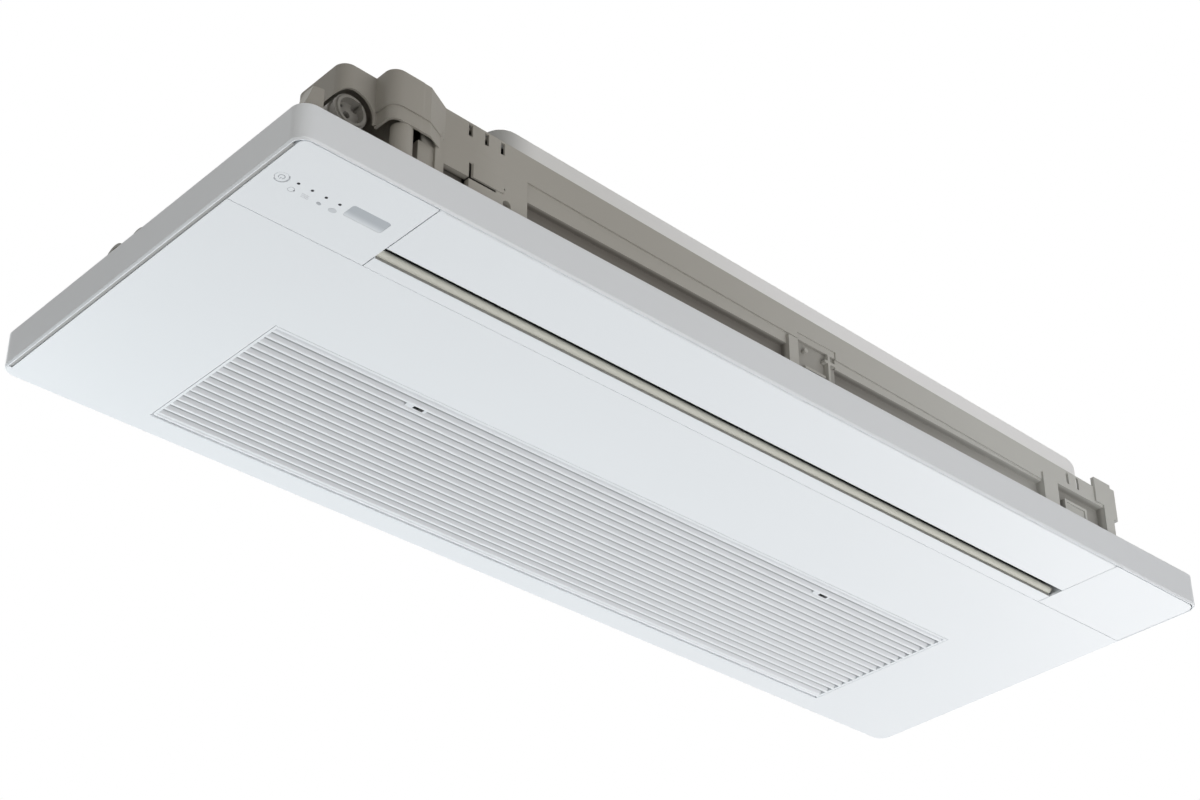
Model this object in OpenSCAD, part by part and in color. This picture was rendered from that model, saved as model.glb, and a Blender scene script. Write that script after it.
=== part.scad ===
// Slim one-way ceiling cassette air conditioner, hung in a false ceiling.
// X runs along the unit, -Y is the outlet side and +Z is up. The origin is
// the centre of the ceiling panel's lower face, which looks down at the room.

/* [Ceiling panel] */
// Length of the panel
panel_l = 1205; // [1185:1:1245]
// Width of the panel
panel_w = 463; // [459:1:479]
// Height of the panel's skirt
panel_h = 36; // [34:1:44]
// Corner radius of the panel
panel_r = 15; // [13:1:30]
// Bevel along the panel's lower edge
bevel = 1.6; // [1.2:0.1:2.4]
// Thickness of the skirt
skirt_t = 2.6; // [2.2:0.1:3.2]
// Thickness of the face and of the covers
face_t = 3; // [2.6:0.1:3.6]
// Thickness of the walls and shelves behind the face
web_t = 2.6; // [2:0.1:3]
// Width of the rim round the outlet strip
rim_w = 2.6; // [2.5:0.1:5]
// Width of the outlet strip
strip_w = 107.1; // [105:0.1:112]
// Length of the display cover
display_l = 144.1; // [134:0.1:154]
// Length of the plain end cover
end_l = 139.1; // [128:0.1:148]
// Width of the fixed lip beside the slot
lip_w = 16; // [14:1:18]
// Width of the open slot between vane and lip
slot_w = 16.7; // [15:0.1:18]
// How far the duct's beige lip stands out into the slot
reach = 5.4; // [4.5:0.1:5.6]
// Gap round covers, vane and grille
seam = 0.6; // [0.4:0.1:1]
// Width of the shadow gap along the near edge
near_gap = 1.5; // [0.8:0.1:2]
// Width of the shadow gap along the left edge
left_gap = 3.7; // [3:0.1:4.5]
// Depth of the shadow gap along the left edge
left_gap_h = 5.2; // [4:0.1:6]
// Radius of the display cover's outer corner
display_r = 8; // [6:0.5:9]

/* [Display] */
// Button's distance from the cover's outer end
button_x = 20.1; // [18:0.1:25]
// Button's distance from the rim
button_y = 53.1; // [47:0.1:62]
// Diameter of the power button
button_d = 12; // [7:0.1:12.5]
// Travel of the power button
button_travel = 0.8; // [0.5:0.1:1]
// Number of indicator lamps
lamp_count = 4; // [3:1:5]
// Pitch of the indicator lamps
lamp_pitch = 14.1; // [13:0.1:15]
// Diameter of an indicator lens
lamp_d = 2; // [1.6:0.1:2.6]
// Length of the receiver window
window_l = 40; // [36:1:42]
// Width of the receiver window
window_w = 17; // [14:1:19]

/* [Outlet vane] */
// Height of the vane's axis above the face
axis_z = 14; // [13:0.5:15]
// Distance of the vane's axis behind its inner edge
axis_in = 3; // [2:0.5:5]
// Diameter of the vane's pivot pins
pivot_d = 4; // [3:0.1:5]
// Thickness of the vane at its edges
vane_edge_t = 2.4; // [2:0.1:3]
// Thickness of the vane at its middle
vane_mid_t = 6; // [5:0.1:6.6]

/* [Intake grille] */
// Length of the grille
grille_l = 914; // [890:1:930]
// Width of the grille
grille_w = 200; // [196:1:204]
// Distance from the parting line to the grille
grille_set = 124; // [122:1:126]
// Depth of the grille
grille_t = 10; // [9:0.5:10.5]
// Width of the grille's border
grille_rim = 3; // [2.6:0.1:4]
// Number of slats
slats = 18; // [15:1:20]
// Distance from the grille's near edge to the first slat's far edge
slat_first = 9.8; // [8:0.1:11]
// Thickness of a slat
slat_t = 1.7; // [1.4:0.1:2]
// Radius of the hinge barrel along the far edge
barrel_r = 4; // [3.6:0.1:4.4]
// Diameter of the hinge pins
hinge_d = 3; // [2.5:0.1:3.4]
// Distance of each catch from the middle
catch_x = 278; // [200:1:300]
// Distance of the catches from the near edge
catch_y = 24; // [22:1:26]
// Travel of a catch, released at rest
catch_travel = 5.5; // [4:0.5:6]
// Thickness of a filter's frame
filter_t = 3; // [2.5:0.1:3.2]

/* [Body] */
// Length of the body
body_l = 970; // [966:1:980]
// Width of the body
body_w = 410; // [404:1:416]
// Shift of the body's middle along the panel
body_shift = 7; // [3:1:9]
// Height of the body's underside above the face
body_lift = 24; // [23:0.5:26]
// Thickness of the foam between panel and body
gasket_t = 4; // [3:0.5:4.5]
// Wall thickness of the base frame
base_t = 2.5; // [2.2:0.1:3]
// Height of the base frame's rim at mid-length
rim_mid = 123.5; // [121:0.5:128]
// Height of the roof above the rim
roof_rise = 24; // [20:1:26]
// Fall of the rim and the roof along the unit, in degrees
pitch = 1.46; // [0:0.1:1.6]
// Sheet thickness of the top casing
sheet_t = 1.2; // [0.8:0.1:1.5]
// Thickness of the foam under the roof
liner_t = 4; // [3:0.5:4]
// Corner radius of the top casing
casing_r = 20; // [14:1:26]
// Setback of the near wall below its band
undercut = 9; // [6:0.5:10]
// Height of the band below the rim
band_h = 29.5; // [26:0.5:32]
// Setback of the step below that band
step_in = 1.8; // [1.4:0.1:2.2]
// Height of the step's lower edge
ledge_z = 82; // [79:1:84]
// Length of the low tray beyond the left end
tray_l = 105; // [95:1:112]

/* [Fan and air path] */
// Radius of the fan
fan_r = 39; // [36:0.5:40]
// Length of the fan
fan_l = 834; // [820:1:838]
// Number of fan blades
fan_blades = 30; // [20:1:35]
// Height of the fan's axis
fan_z = 82; // [81:0.5:83]
// Distance of the fan's axis from the body's near wall
fan_set = 109; // [107:1:111]
// Gap between fan and scroll at its closest
fan_gap = 4; // [3.5:0.5:4.5]
// Wall of the scroll
scroll_t = 2.5; // [2:0.1:3]
// Diameter of the fan's shaft
shaft_d = 8; // [6:0.5:10]
// Number of fan segments
fan_parts = 5; // [4:1:7]

/* [Deflector] */
// Number of deflector blades on each side of the middle
deflector_half = 4; // [4:1:4]
// Pitch of the deflector blades
deflector_pitch = 108; // [100:1:110]
// Length of a deflector blade
deflector_l = 44; // [38:1:46]
// Height of a deflector blade
deflector_h = 17; // [14:0.5:18]
// Crank length of a deflector blade
crank = 15; // [13:0.5:16]

/* [Heat exchanger] */
// Tilt of the coil in degrees
coil_tilt = 15; // [13:0.5:16]
// Width of the coil along its slope
coil_w = 198; // [190:1:202]
// Thickness of the coil
coil_t = 26; // [24:0.5:27]
// Pitch of the fins
fin_pitch = 10; // [8:0.5:16]
// Outside diameter of the coil's tubes
tube_d = 7; // [6:0.5:8]
// Number of tube bends in a row
tube_bends = 4; // [3:1:4]
// Outside diameter of the gas pipe
gas_d = 12.7; // [9.5:0.1:12.7]
// Outside diameter of the liquid pipe
liquid_d = 6.35; // [6:0.05:9.5]
// Outside diameter of the gas pipe's union
gas_union_d = 19.05; // [15.9:0.05:19.1]
// Outside diameter of the liquid pipe's union
liquid_union_d = 11.11; // [11:0.01:15.9]
// Length of the unions
union_l = 14; // [12:0.5:16]
// Outside diameter of the drain port
drain_d = 26; // [20:1:28]

/* [Left corner] */
// Length of the wing beyond the body's left end
wing_l = 62; // [58:1:64]
// Width of the wing
wing_w = 70; // [64:1:74]
// Setback of the wing's face behind the near wall
wing_set = 11; // [9:1:13]
// Radius of the port in the wing
port_r = 20; // [18:0.5:21]
// Height of the port's centre
port_z = 92; // [90:1:94]
// Distance of the port from the wing's outer end
port_in = 15; // [12:1:20]
// How far the bump stands out from the near wall
bump_out = 13; // [11:1:14]
// Length of the bump
bump_l = 44; // [40:1:46]

/* [Hanging] */
// Width of a hanger's slot
slot_d = 11; // [10:0.5:13]
// Length of a hanger's slot
slot_l = 28; // [20:1:30]
// Distance between the two hangers of one end
hanger_y = 200; // [190:1:210]
// Height of the hangers above the face
hanger_z = 96; // [85:1:100]
// Thickness of a hanger bracket
hanger_t = 2.5; // [2:0.1:3]

/* [Hidden] */
$fn = 64;

white = [0.90, 0.92, 0.93];
grey = [0.56, 0.55, 0.52];
dark = [0.20, 0.20, 0.20];
steel = [0.75, 0.76, 0.77];
copper = [0.80, 0.48, 0.32];

touch = 0.3;     // rest gap between pieces on different bodies
eps = 0.01;

// Panel lines
strip_y0 = -panel_w/2+rim_w;
left_x = -panel_l/2+rim_w+left_gap;
split_y = strip_y0+strip_w;
slot_y1 = split_y-lip_w;
vane_y0 = strip_y0+near_gap;
vane_y1 = slot_y1-slot_w;
vane_x0 = -panel_l/2+rim_w+display_l;
vane_x1 = panel_l/2-rim_w-end_l;
web_z = body_lift-gasket_t;
shelf_z = web_z-web_t;
duct_y0 = -body_w/2+15;
duct_y1 = slot_y1+7;
axis_y = vane_y1-axis_in;
grille_y0 = split_y+grille_set;
grille_y1 = grille_y0+grille_w;
hinge_y = grille_y1-barrel_r;
hinge_z = barrel_r;

// Body lines
body_x0 = body_shift-body_l/2;
body_x1 = body_shift+body_l/2;
body_y0 = -body_w/2;
body_y1 = body_w/2;
floor_z = body_lift+base_t;
fall = tan(pitch);
function rim_z(x) = rim_mid-x*fall;
bay_l = 70;                      // length of the bay for motor and control box
bay_x = body_x0+bay_l;           // its inner wall
fan_x0 = bay_x+base_t+4;
fan_x1 = fan_x0+fan_l;
cheek_x1 = fan_x1+4;
fan_y = body_y0+fan_set;
scroll_r = fan_r+fan_gap;
casing_x0 = body_x0+103;
casing_x1 = body_x1-15;

// A box between two corners
module box(x0, x1, y0, y1, z0, z1)
    translate([x0, y0, z0]) cube([x1-x0, y1-y0, z1-z0]);

// A flat rectangle with round corners, centred
module rr2(l, w, r) {
    square([l-2*r, w], center=true);
    square([l, w-2*r], center=true);
    for (i = [-1, 1], j = [-1, 1]) translate([i*(l/2-r), j*(w/2-r)]) circle(r);
}

// A flat slot along X, centred
module slot2(l, w) {
    square([l-w, w], center=true);
    for (i = [-1, 1]) translate([i*(l-w)/2, 0]) circle(d=w);
}

// A prism along Y from points in X and Z, and one along X from points in Y and Z
module xz_prism(pts, y0, y1)
    translate([0, y1, 0]) rotate([90, 0, 0]) linear_extrude(y1-y0) polygon(pts);
module yz_prism(pts, x0, x1)
    translate([x0, 0, 0]) rotate([90, 0, 90]) linear_extrude(x1-x0) polygon(pts);

// A wall with a level foot whose top follows the pitched rim
module pitched_wall(x0, x1, y0, y1, z0, lift=0)
    xz_prism([[x0, z0], [x1, z0], [x1, rim_z(x1)+lift], [x0, rim_z(x0)+lift]], y0, y1);

// Everything below the pitched rim, to cut upright shapes with
module below_rim(lift=0)
    pitched_wall(-panel_l/2, panel_l/2, -panel_w/2, panel_w/2, 0, lift);

// A round slab whose lower edge is bevelled all round
module bevelled_slab(l, w, r, c, h) {
    for (i = [-1, 1], j = [-1, 1])
        translate([i*(l/2-r), j*(w/2-r), 0]) cylinder(h=c, r1=r-c, r2=r);
    yz_prism([[-w/2+c, 0], [w/2-c, 0], [w/2, c], [-w/2, c]], -l/2+r, l/2-r);
    xz_prism([[-l/2+c, 0], [l/2-c, 0], [l/2, c], [-l/2, c]], -w/2+r, w/2-r);
    translate([0, 0, c]) linear_extrude(h-c) rr2(l, w, r);
}

// A rod along X, and one along Y
module rod_x(x0, x1, y, z, d) translate([x0, y, z]) rotate([0, 90, 0]) cylinder(h=x1-x0, d=d);
module rod_y(x, y0, y1, z, d) translate([x, y1, z]) rotate([90, 0, 0]) cylinder(h=y1-y0, d=d);

// A pan-head screw that points up, head below the given point
module screw(d, l, head_d, head_h) {
    cylinder(h=l, d=d);
    translate([0, 0, -head_h]) difference() {
        cylinder(h=head_h, d=head_d);
        for (a = [0, 90]) rotate(a) translate([-head_d/4, -0.5, -eps]) cube([head_d/2, 1, head_h/2]);
    }
}

// Panel screws: two behind the end covers, two in the grille's far corners
screw_d = 4;
screw_near_y = split_y-18;
screw_far_y = grille_y1-12;
screw_far_x = grille_l/2-13;
screw_left_x = body_x0-22;
screw_right_x = body_x1-16;
panel_screw_at = [[screw_left_x, screw_near_y], [screw_right_x, screw_near_y],
    [-screw_far_x, screw_far_y], [screw_far_x, screw_far_y]];

keeper_w = 5;
keeper_z = grille_t-1.5;
keeper_t = 1.5;
keeper_out = 3;
nose_w = keeper_w-1;
rib_z = 14;      // height of the ribs behind the face
groove_t = 0.8;  // depth of the groove along the parting line

module strip_outline()
    intersection() {
        rr2(panel_l-2*rim_w, panel_w-2*rim_w, panel_r-rim_w);
        translate([-panel_l/2, strip_y0]) square([panel_l, strip_w]);
    }

module panel_walls() {
    // duct walls beside the slot and at the vane's ends
    box(vane_x0+seam, vane_x1-seam, duct_y1, duct_y1+web_t, face_t-eps, web_z);
    box(vane_x0-web_t-2, vane_x1+web_t+2, duct_y1, duct_y1+web_t, face_t+eps, web_z);
    for (x = [vane_x0-web_t-2, vane_x1+2])
        box(x, x+web_t, axis_y-7, duct_y1+web_t, face_t+eps, web_z);
    // near shelf over the vane's outer edge, with its drop wall
    box(-panel_l/2+skirt_t/2, panel_l/2-skirt_t/2, -panel_w/2+skirt_t/2, duct_y0, shelf_z, web_z);
    box(vane_x0-2, vane_x1+2, duct_y0-web_t, duct_y0, vane_mid_t+6, web_z);
    // shelves that close the two end bays
    box(-panel_l/2+skirt_t/2, vane_x0-2, duct_y0-eps, split_y+web_t, shelf_z, web_z);
    box(vane_x1+2, panel_l/2-skirt_t/2, duct_y0-eps, split_y+web_t, shelf_z, web_z);
    // wall along the parting line behind each cover
    box(-panel_l/2+skirt_t/2, vane_x0-2, split_y+seam, split_y+seam+web_t, face_t-eps, web_z);
    box(vane_x1+2, panel_l/2-skirt_t/2, split_y+seam, split_y+seam+web_t, face_t-eps, web_z);
    // intake walls
    difference() {
        box(-grille_l/2-seam-web_t, grille_l/2+seam+web_t,
            grille_y0-seam-web_t, grille_y1+seam+web_t, face_t-eps, web_z);
        box(-grille_l/2-seam, grille_l/2+seam, grille_y0-seam, grille_y1+seam, 0, panel_h);
    }
    // corner pads for the far screws
    for (s = [-1, 1])
        box(min(s*(grille_l/2+seam+eps), s*(grille_l/2-24)), max(s*(grille_l/2+seam+eps), s*(grille_l/2-24)),
            grille_y1-22, grille_y1+seam+eps, shelf_z, web_z);
    // keepers for the two catches
    for (s = [-1, 1])
        box(s*catch_x-keeper_w/2, s*catch_x+keeper_w/2, grille_y0-seam-eps,
            grille_y0-seam+keeper_out, keeper_z, keeper_z+keeper_t);
    // ledges that carry the covers
    for (x = [-panel_l/2+rim_w+16, vane_x1+12])
        box(x, x+display_l-40, strip_y0-1, strip_y0+5, face_t+seam/2, shelf_z+eps);
    for (x = [-panel_l/2+rim_w+16, vane_x1+12])
        box(x, x+display_l-40, split_y-4, split_y+web_t, face_t+seam/2, shelf_z+eps);
    // floor of the shadow gap along the left edge
    box(-panel_l/2+skirt_t/2, left_x+3, strip_y0+5, panel_w/2-10, left_gap_h, left_gap_h+2.2);
    // ribs behind the face
    for (x = [-panel_l/2+60 : 90 : panel_l/2-50]) {
        box(x, x+1.6, split_y+seam+web_t-eps, grille_y0-seam-web_t+eps, face_t-eps, rib_z);
        box(x, x+1.6, grille_y1+seam+web_t-eps, panel_w/2-skirt_t+eps, face_t-eps, rib_z);
    }
    for (s = [-1, 1], y = [grille_y0+20 : 40 : grille_y1-10])
        box(min(s*(grille_l/2+seam+web_t-eps), s*(panel_l/2-skirt_t+eps)),
            max(s*(grille_l/2+seam+web_t-eps), s*(panel_l/2-skirt_t+eps)), y, y+1.6, face_t-eps, rib_z);
}

module panel_frame() color(white)
    difference() {
        union() {
            difference() {
                bevelled_slab(panel_l, panel_w, panel_r, bevel, panel_h);
                translate([0, 0, face_t]) linear_extrude(panel_h)
                    rr2(panel_l-2*skirt_t, panel_w-2*skirt_t, panel_r-skirt_t);
                // intake opening
                box(-grille_l/2-seam, grille_l/2+seam, grille_y0-seam, grille_y1+seam, -1, panel_h);
                // shadow gap along the left edge
                box(-panel_l/2+rim_w, left_x, split_y-seam, panel_w/2-13, -1, left_gap_h);
                // groove along the parting line
                box(-panel_l/2+rim_w, panel_l/2-rim_w, split_y-seam, split_y, -1, groove_t);
                // outlet strip, but for its fixed lip
                difference() {
                    translate([0, 0, -1]) linear_extrude(face_t+2) strip_outline();
                    box(vane_x0+seam, vane_x1-seam, slot_y1, split_y+1, -2, face_t+2);
                }
            }
            intersection() {
                panel_walls();
                linear_extrude(panel_h) rr2(panel_l-skirt_t, panel_w-skirt_t, panel_r-skirt_t/2);
            }
        }
        for (p = panel_screw_at)
            translate([p[0], p[1], shelf_z-1]) cylinder(h=web_t+2, d=screw_d+1);
        // bores for the grille's hinge pins
        rod_x(-grille_l/2-seam-web_t-1, -grille_l/2+1, hinge_y, hinge_z, hinge_d);
        rod_x(grille_l/2-1, grille_l/2+seam+web_t+1, hinge_y, hinge_z, hinge_d);
        // bores for the right pivot of the vane and for its motor's shaft
        rod_x(vane_x1-1, vane_x1+web_t+3, axis_y, axis_z, pivot_d);
        rod_x(vane_x0-web_t-3, vane_x0+1, axis_y, axis_z, pivot_d);
    }

// Cover in one end of the strip, from x0 to x1, with its outer near corner rounded by r
module cover_plate(x0, x1, r, s) {
    w = split_y-seam-vane_y0;
    translate([0, vane_y0, cover_set]) linear_extrude(face_t-cover_set) {
        translate([x0, r]) square([x1-x0, w-r]);
        translate([s > 0 ? x0 : x0+r, 0]) square([x1-x0-r, w]);
        translate([s > 0 ? x1-r : x0+r, r]) circle(r);
    }
}

cover_set = 0.1;  // the covers lie a hair above the panel's face
display_x0 = -panel_l/2+rim_w;
btn_x = display_x0+button_x;
btn_y = strip_y0+button_y;
lamp_x = btn_x+15.5;
win_x = lamp_x+lamp_count*lamp_pitch-5+window_l/2;
win_y = btn_y-1;

module display_cover() color(white)
    difference() {
        union() {
            cover_plate(left_x, vane_x0-seam/2, display_r, -1);
            // stiffening rim on the inside
            box(display_x0+24, vane_x0-9, strip_y0+8, strip_y0+9.6, face_t-eps, face_t+5);
            box(display_x0+24, vane_x0-9, split_y-7.6, split_y-6, face_t-eps, face_t+5);
            // collar round the button
            translate([btn_x, btn_y, face_t-eps]) cylinder(h=collar_h+eps, d=button_d+5);
        }
        translate([btn_x, btn_y, -1]) cylinder(h=face_t+collar_h+2, d=button_d+2*touch);
        for (i = [0 : lamp_count-1])
            translate([lamp_x+i*lamp_pitch, btn_y-2, -1]) cylinder(h=face_t+6, d=lamp_d);
        translate([win_x, win_y, -1]) linear_extrude(face_t+3) rr2(window_l, window_w, 3);
    }

module end_cover() color(white) {
    cover_plate(vane_x1+seam/2, panel_l/2-rim_w-seam, panel_r-rim_w-seam, 1);
    box(vane_x1+9, panel_l/2-rim_w-24, strip_y0+8, strip_y0+9.6, face_t-eps, face_t+5);
    box(vane_x1+9, panel_l/2-rim_w-24, split_y-7.6, split_y-6, face_t-eps, face_t+5);
}

module receiver_window() color([0.74, 0.76, 0.79]) {
    translate([win_x, win_y, 0.2]) linear_extrude(face_t-0.2) rr2(window_l-0.1, window_w-0.1, 3);
    translate([win_x, win_y, face_t]) linear_extrude(1) rr2(window_l+4, window_w+4, 4);
}

collar_h = 3;
flange_t = 0.7;
button_top = face_t+collar_h+touch+flange_t;
board_z = button_top+button_travel+2;
module power_button() color([0.82, 0.83, 0.84])
    translate([btn_x, btn_y, 0]) {
        translate([0, 0, 0.2]) cylinder(h=button_top-0.2, d=button_d);
        // flange that stops the button from falling out
        translate([0, 0, button_top-flange_t]) cylinder(h=flange_t, d=button_d+3);
    }

module indicator_lenses() color([0.30, 0.32, 0.33])
    for (i = [0 : lamp_count-1]) translate([lamp_x+i*lamp_pitch, btn_y-2, 0]) {
        translate([0, 0, 0.2]) cylinder(h=face_t-0.2, d=lamp_d-0.1);
        translate([0, 0, face_t]) cylinder(h=1.6, d=lamp_d+1.6);
    }

// Circuit board with its lamps, receiver and push switch
module display_board() color([0.14, 0.42, 0.28]) {
    b0 = board_z;
    difference() {
        box(btn_x-8, win_x+window_l/2+1, btn_y-16, btn_y+10, b0, b0+1.6);
        for (x = [btn_x-5, win_x+window_l/2-2]) translate([x, btn_y-13, b0-1]) cylinder(h=4, d=2.4);
    }
    for (i = [0 : lamp_count-1])
        box(lamp_x+i*lamp_pitch-1.4, lamp_x+i*lamp_pitch+1.4, btn_y-3.4, btn_y-0.6, face_t+1.6, b0);
    box(win_x-4, win_x+4, win_y-4, win_y+4, face_t+1, b0);
    // push switch over the button
    box(btn_x-2.5, btn_x+2.5, btn_y-2.5, btn_y+2.5, button_top+button_travel+0.1, b0+eps);
    // feet that hold the board off the cover
    for (x = [btn_x+12, win_x-window_l/2-6])
        translate([x, btn_y+7, face_t]) cylinder(h=b0-face_t, d=4);
}

// Vane section: flat below, gently arched above
vane_w = vane_y1-vane_y0;
arch_steps = 8;
function vane_top(u) = vane_edge_t+(vane_mid_t-vane_edge_t)*(1-pow(2*u-1, 2));
vane_profile = concat([[vane_y0+1, 0], [vane_y1-1, 0], [vane_y1, 0.8]],
    [for (i = [arch_steps : -1 : 0]) [vane_y0+vane_w*i/arch_steps, vane_top(i/arch_steps)]],
    [[vane_y0, 0.8]]);
arm_t = 4;
arm_x = [vane_x0+seam+0.5, (vane_x0+vane_x1)/2-arm_t/2, vane_x1-seam-0.5-arm_t];

module vane() color(white)
    difference() {
        union() {
            yz_prism(vane_profile, vane_x0+seam, vane_x1-seam);
            for (x = arm_x) {
                rod_x(x, x+arm_t, axis_y, axis_z, pivot_d+6);
                yz_prism([[axis_y-16, 3], [axis_y, 3], [axis_y+4, axis_z], [axis_y-4, axis_z+2]], x, x+arm_t);
            }
        }
        for (x = arm_x) rod_x(x-1, x+arm_t+1, axis_y, axis_z, pivot_d);
    }

// Pins at the right end and at the middle, and the middle pin's hanger
mid_x = (vane_x0+vane_x1)/2;
mid_hanger_t = 5;
mid_hanger_x = mid_x-arm_t/2-3-mid_hanger_t;
module vane_pivots() color(steel) {
    rod_x(vane_x1-seam-0.5-arm_t, vane_x1+2+web_t, axis_y, axis_z, pivot_d-0.1);
    rod_x(mid_x-arm_t/2-5, mid_x+arm_t/2+1, axis_y, axis_z, pivot_d-0.1);
    difference() {
        box(mid_hanger_x, mid_hanger_x+mid_hanger_t, axis_y-4, duct_y1, axis_z-4, web_z);
        // clear of the vane's inner edge
        box(mid_hanger_x-1, mid_hanger_x+mid_hanger_t+1, axis_y+4, duct_y1+1, 0, axis_z+1.5);
        rod_x(mid_x-20, mid_x, axis_y, axis_z, pivot_d-0.1);
    }
}

motor_d = 13;
motor_l = 18;
module vane_motor() color(steel) {
    x1 = vane_x0-2-web_t;
    // round can with its flange against the duct's end wall
    rod_x(x1-motor_l, x1-2, axis_y, shelf_z-motor_d/2-touch, motor_d);
    difference() {
        box(x1-2, x1, axis_y-11, axis_y+11, face_t+touch, shelf_z);
        for (s = [-1, 1]) rod_x(x1-3, x1+1, axis_y+s*8.5, axis_z-3, 2.4);
    }
    rod_x(x1-3, vane_x0+seam+0.5+arm_t, axis_y, axis_z, pivot_d-0.1);
}

// Beige strip behind the fixed lip, its nose rounded into the slot
lip_rise = 5.5;
module duct_lip() color([0.74, 0.74, 0.69]) {
    n = 6;
    difference() {
        yz_prism(concat([[duct_y1, face_t]],
            [for (i = [0 : n]) [slot_y1-reach*sin(90*i/n), face_t+lip_rise*(1-cos(90*i/n))]],
            [[duct_y1-1.5, web_z-0.5], [duct_y1, web_z-0.5]]), vane_x0+seam+1, vane_x1-seam-1);
        // gap for the middle pivot's hanger
        box(mid_hanger_x-touch, mid_hanger_x+mid_hanger_t+touch, -panel_w, duct_y1+1, axis_z-5, panel_h);
    }
}

slat_pitch = (grille_w-2*grille_rim)/slats;
slat_rise = grille_t-3;
slat_run = slat_pitch-slat_t;
slat_w = slat_t*sqrt(pow(slat_run, 2)+pow(slat_rise, 2))/slat_rise;
slot_hole_l = catch_travel+keeper_w+1;
slot_hole_w = 3.6;

module intake_grille() color(white)
    difference() {
        union() {
            intersection() {
                box(-grille_l/2, grille_l/2, grille_y0, grille_y1, 0, grille_t);
                for (i = [0 : slats-1]) translate([0, grille_y0+slat_first+i*slat_pitch, 0])
                    yz_prism([[-slat_w, 0], [0, 0], [-slat_run, slat_rise],
                        [-slat_run-slat_w, slat_rise]], -grille_l/2, grille_l/2);
            }
            // border, its far side ending in the hinge barrel
            difference() {
                box(-grille_l/2, grille_l/2, grille_y0, hinge_y, 0, grille_t);
                box(-grille_l/2+grille_rim, grille_l/2-grille_rim,
                    grille_y0+grille_rim, grille_y1, -1, grille_t+1);
            }
            rod_x(-grille_l/2, grille_l/2, hinge_y, hinge_z, 2*barrel_r);
            box(-grille_l/2, grille_l/2, hinge_y-3, hinge_y, hinge_z, grille_t);
            // cross ribs above the slats
            for (x = [-4*96 : 96 : 4*96])
                box(x-0.9, x+0.9, grille_y0+1, hinge_y, slat_rise-2.5, grille_t);
            // pads round the catch slots
            for (s = [-1, 1])
                box(s*catch_x-12, s*catch_x+12, grille_y0+catch_y-6, grille_y0+catch_y+6, 1.2, grille_t);
        }
        for (s = [-1, 1])
            translate([s*catch_x+catch_travel/2, grille_y0+catch_y, -1]) linear_extrude(grille_t+2)
                rr2(slot_hole_l, slot_hole_w, 1.2);
        for (s = [-1, 1])
            rod_x(min(s*grille_l/2+s, s*(grille_l/2-14)), max(s*grille_l/2+s, s*(grille_l/2-14)),
                hinge_y, hinge_z, hinge_d);
        // notches for the keepers
        for (s = [-1, 1])
            box(s*catch_x-keeper_w/2-seam, s*catch_x+keeper_w/2+seam, grille_y0-1,
                grille_y0-seam+keeper_out+seam, keeper_z-seam, grille_t+1);
        // the slats stop short of the barrel's lower far corner
        difference() {
            box(-grille_l, grille_l, hinge_y, grille_y1+1, -1, grille_t+1);
            rod_x(-grille_l, grille_l, hinge_y, hinge_z, 2*barrel_r);
        }
    }

// Slide plate with its finger tab in the slot. It is drawn released: moved back
// by its travel, the nose lies over the keeper on the panel.
module catch(s) color(dark)
    translate([s*catch_x+catch_travel, grille_y0+catch_y, grille_t+touch]) {
        box(-catch_travel-3, 4, -5, 5, 0, 2);
        box(-1.4, 1.4, -1.3, 1.3, -grille_t+1.5, 1);
        box(-nose_w/2, nose_w/2, -catch_y+touch, -4, 0, 2);
    }
module grille_catch_left() catch(-1);
module grille_catch_right() catch(1);

module grille_hinge_pins() color(steel)
    for (s = [-1, 1])
        rod_x(min(s*(grille_l/2-12), s*(grille_l/2+seam+web_t+1)),
            max(s*(grille_l/2-12), s*(grille_l/2+seam+web_t+1)), hinge_y, hinge_z, hinge_d-0.1);

// Two filters: a frame with cross bars round a thin net
module air_filters() color([0.36, 0.38, 0.40])
    for (s = [-1, 1]) {
        x0 = s > 0 ? 3 : -grille_l/2+6;
        x1 = s > 0 ? grille_l/2-6 : -3;
        y0 = grille_y0+catch_y+10;
        y1 = hinge_y-6;
        difference() {
            box(x0, x1, y0, y1, grille_t, grille_t+filter_t);
            for (i = [0 : 4], j = [0 : 1]) {
                w = (x1-x0-5)/5;
                d = (y1-y0-5)/2;
                box(x0+5+i*w, x0+i*w+w, y0+5+j*d, y0+j*d+d, grille_t-1, grille_t+filter_t+1);
            }
        }
        box(x0+1, x1-1, y0+1, y1-1, grille_t+filter_t/2-0.3, grille_t+filter_t/2+0.3);
    }

module panel_gasket() color([0.25, 0.26, 0.27])
    difference() {
        union() {
            box(vane_x0-6, vane_x1+6, duct_y0-10, duct_y1+web_t, web_z, body_lift);
            difference() {
                box(-grille_l/2-seam-web_t, grille_l/2+seam+web_t,
                    grille_y0-seam-web_t, body_y1, web_z, body_lift);
                box(-grille_l/2+25, grille_l/2-25, grille_y0+2, grille_y1-4, 0, panel_h);
            }
        }
        box(vane_x0-2, vane_x1+2, duct_y0, duct_y1, 0, panel_h);
        for (p = panel_screw_at) translate([p[0], p[1], 0]) cylinder(h=panel_h, d=screw_d+8);
    }

module panel_screws() color(steel)
    for (p = panel_screw_at) translate([p[0], p[1], shelf_z]) screw(screw_d, floor_z-shelf_z+7, 9, 2.6);

// A frame that follows the pitched rim: its origin lies on the rim at mid-length
module on_pitch() translate([0, 0, rim_mid]) rotate([0, pitch, 0]) children();

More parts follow.
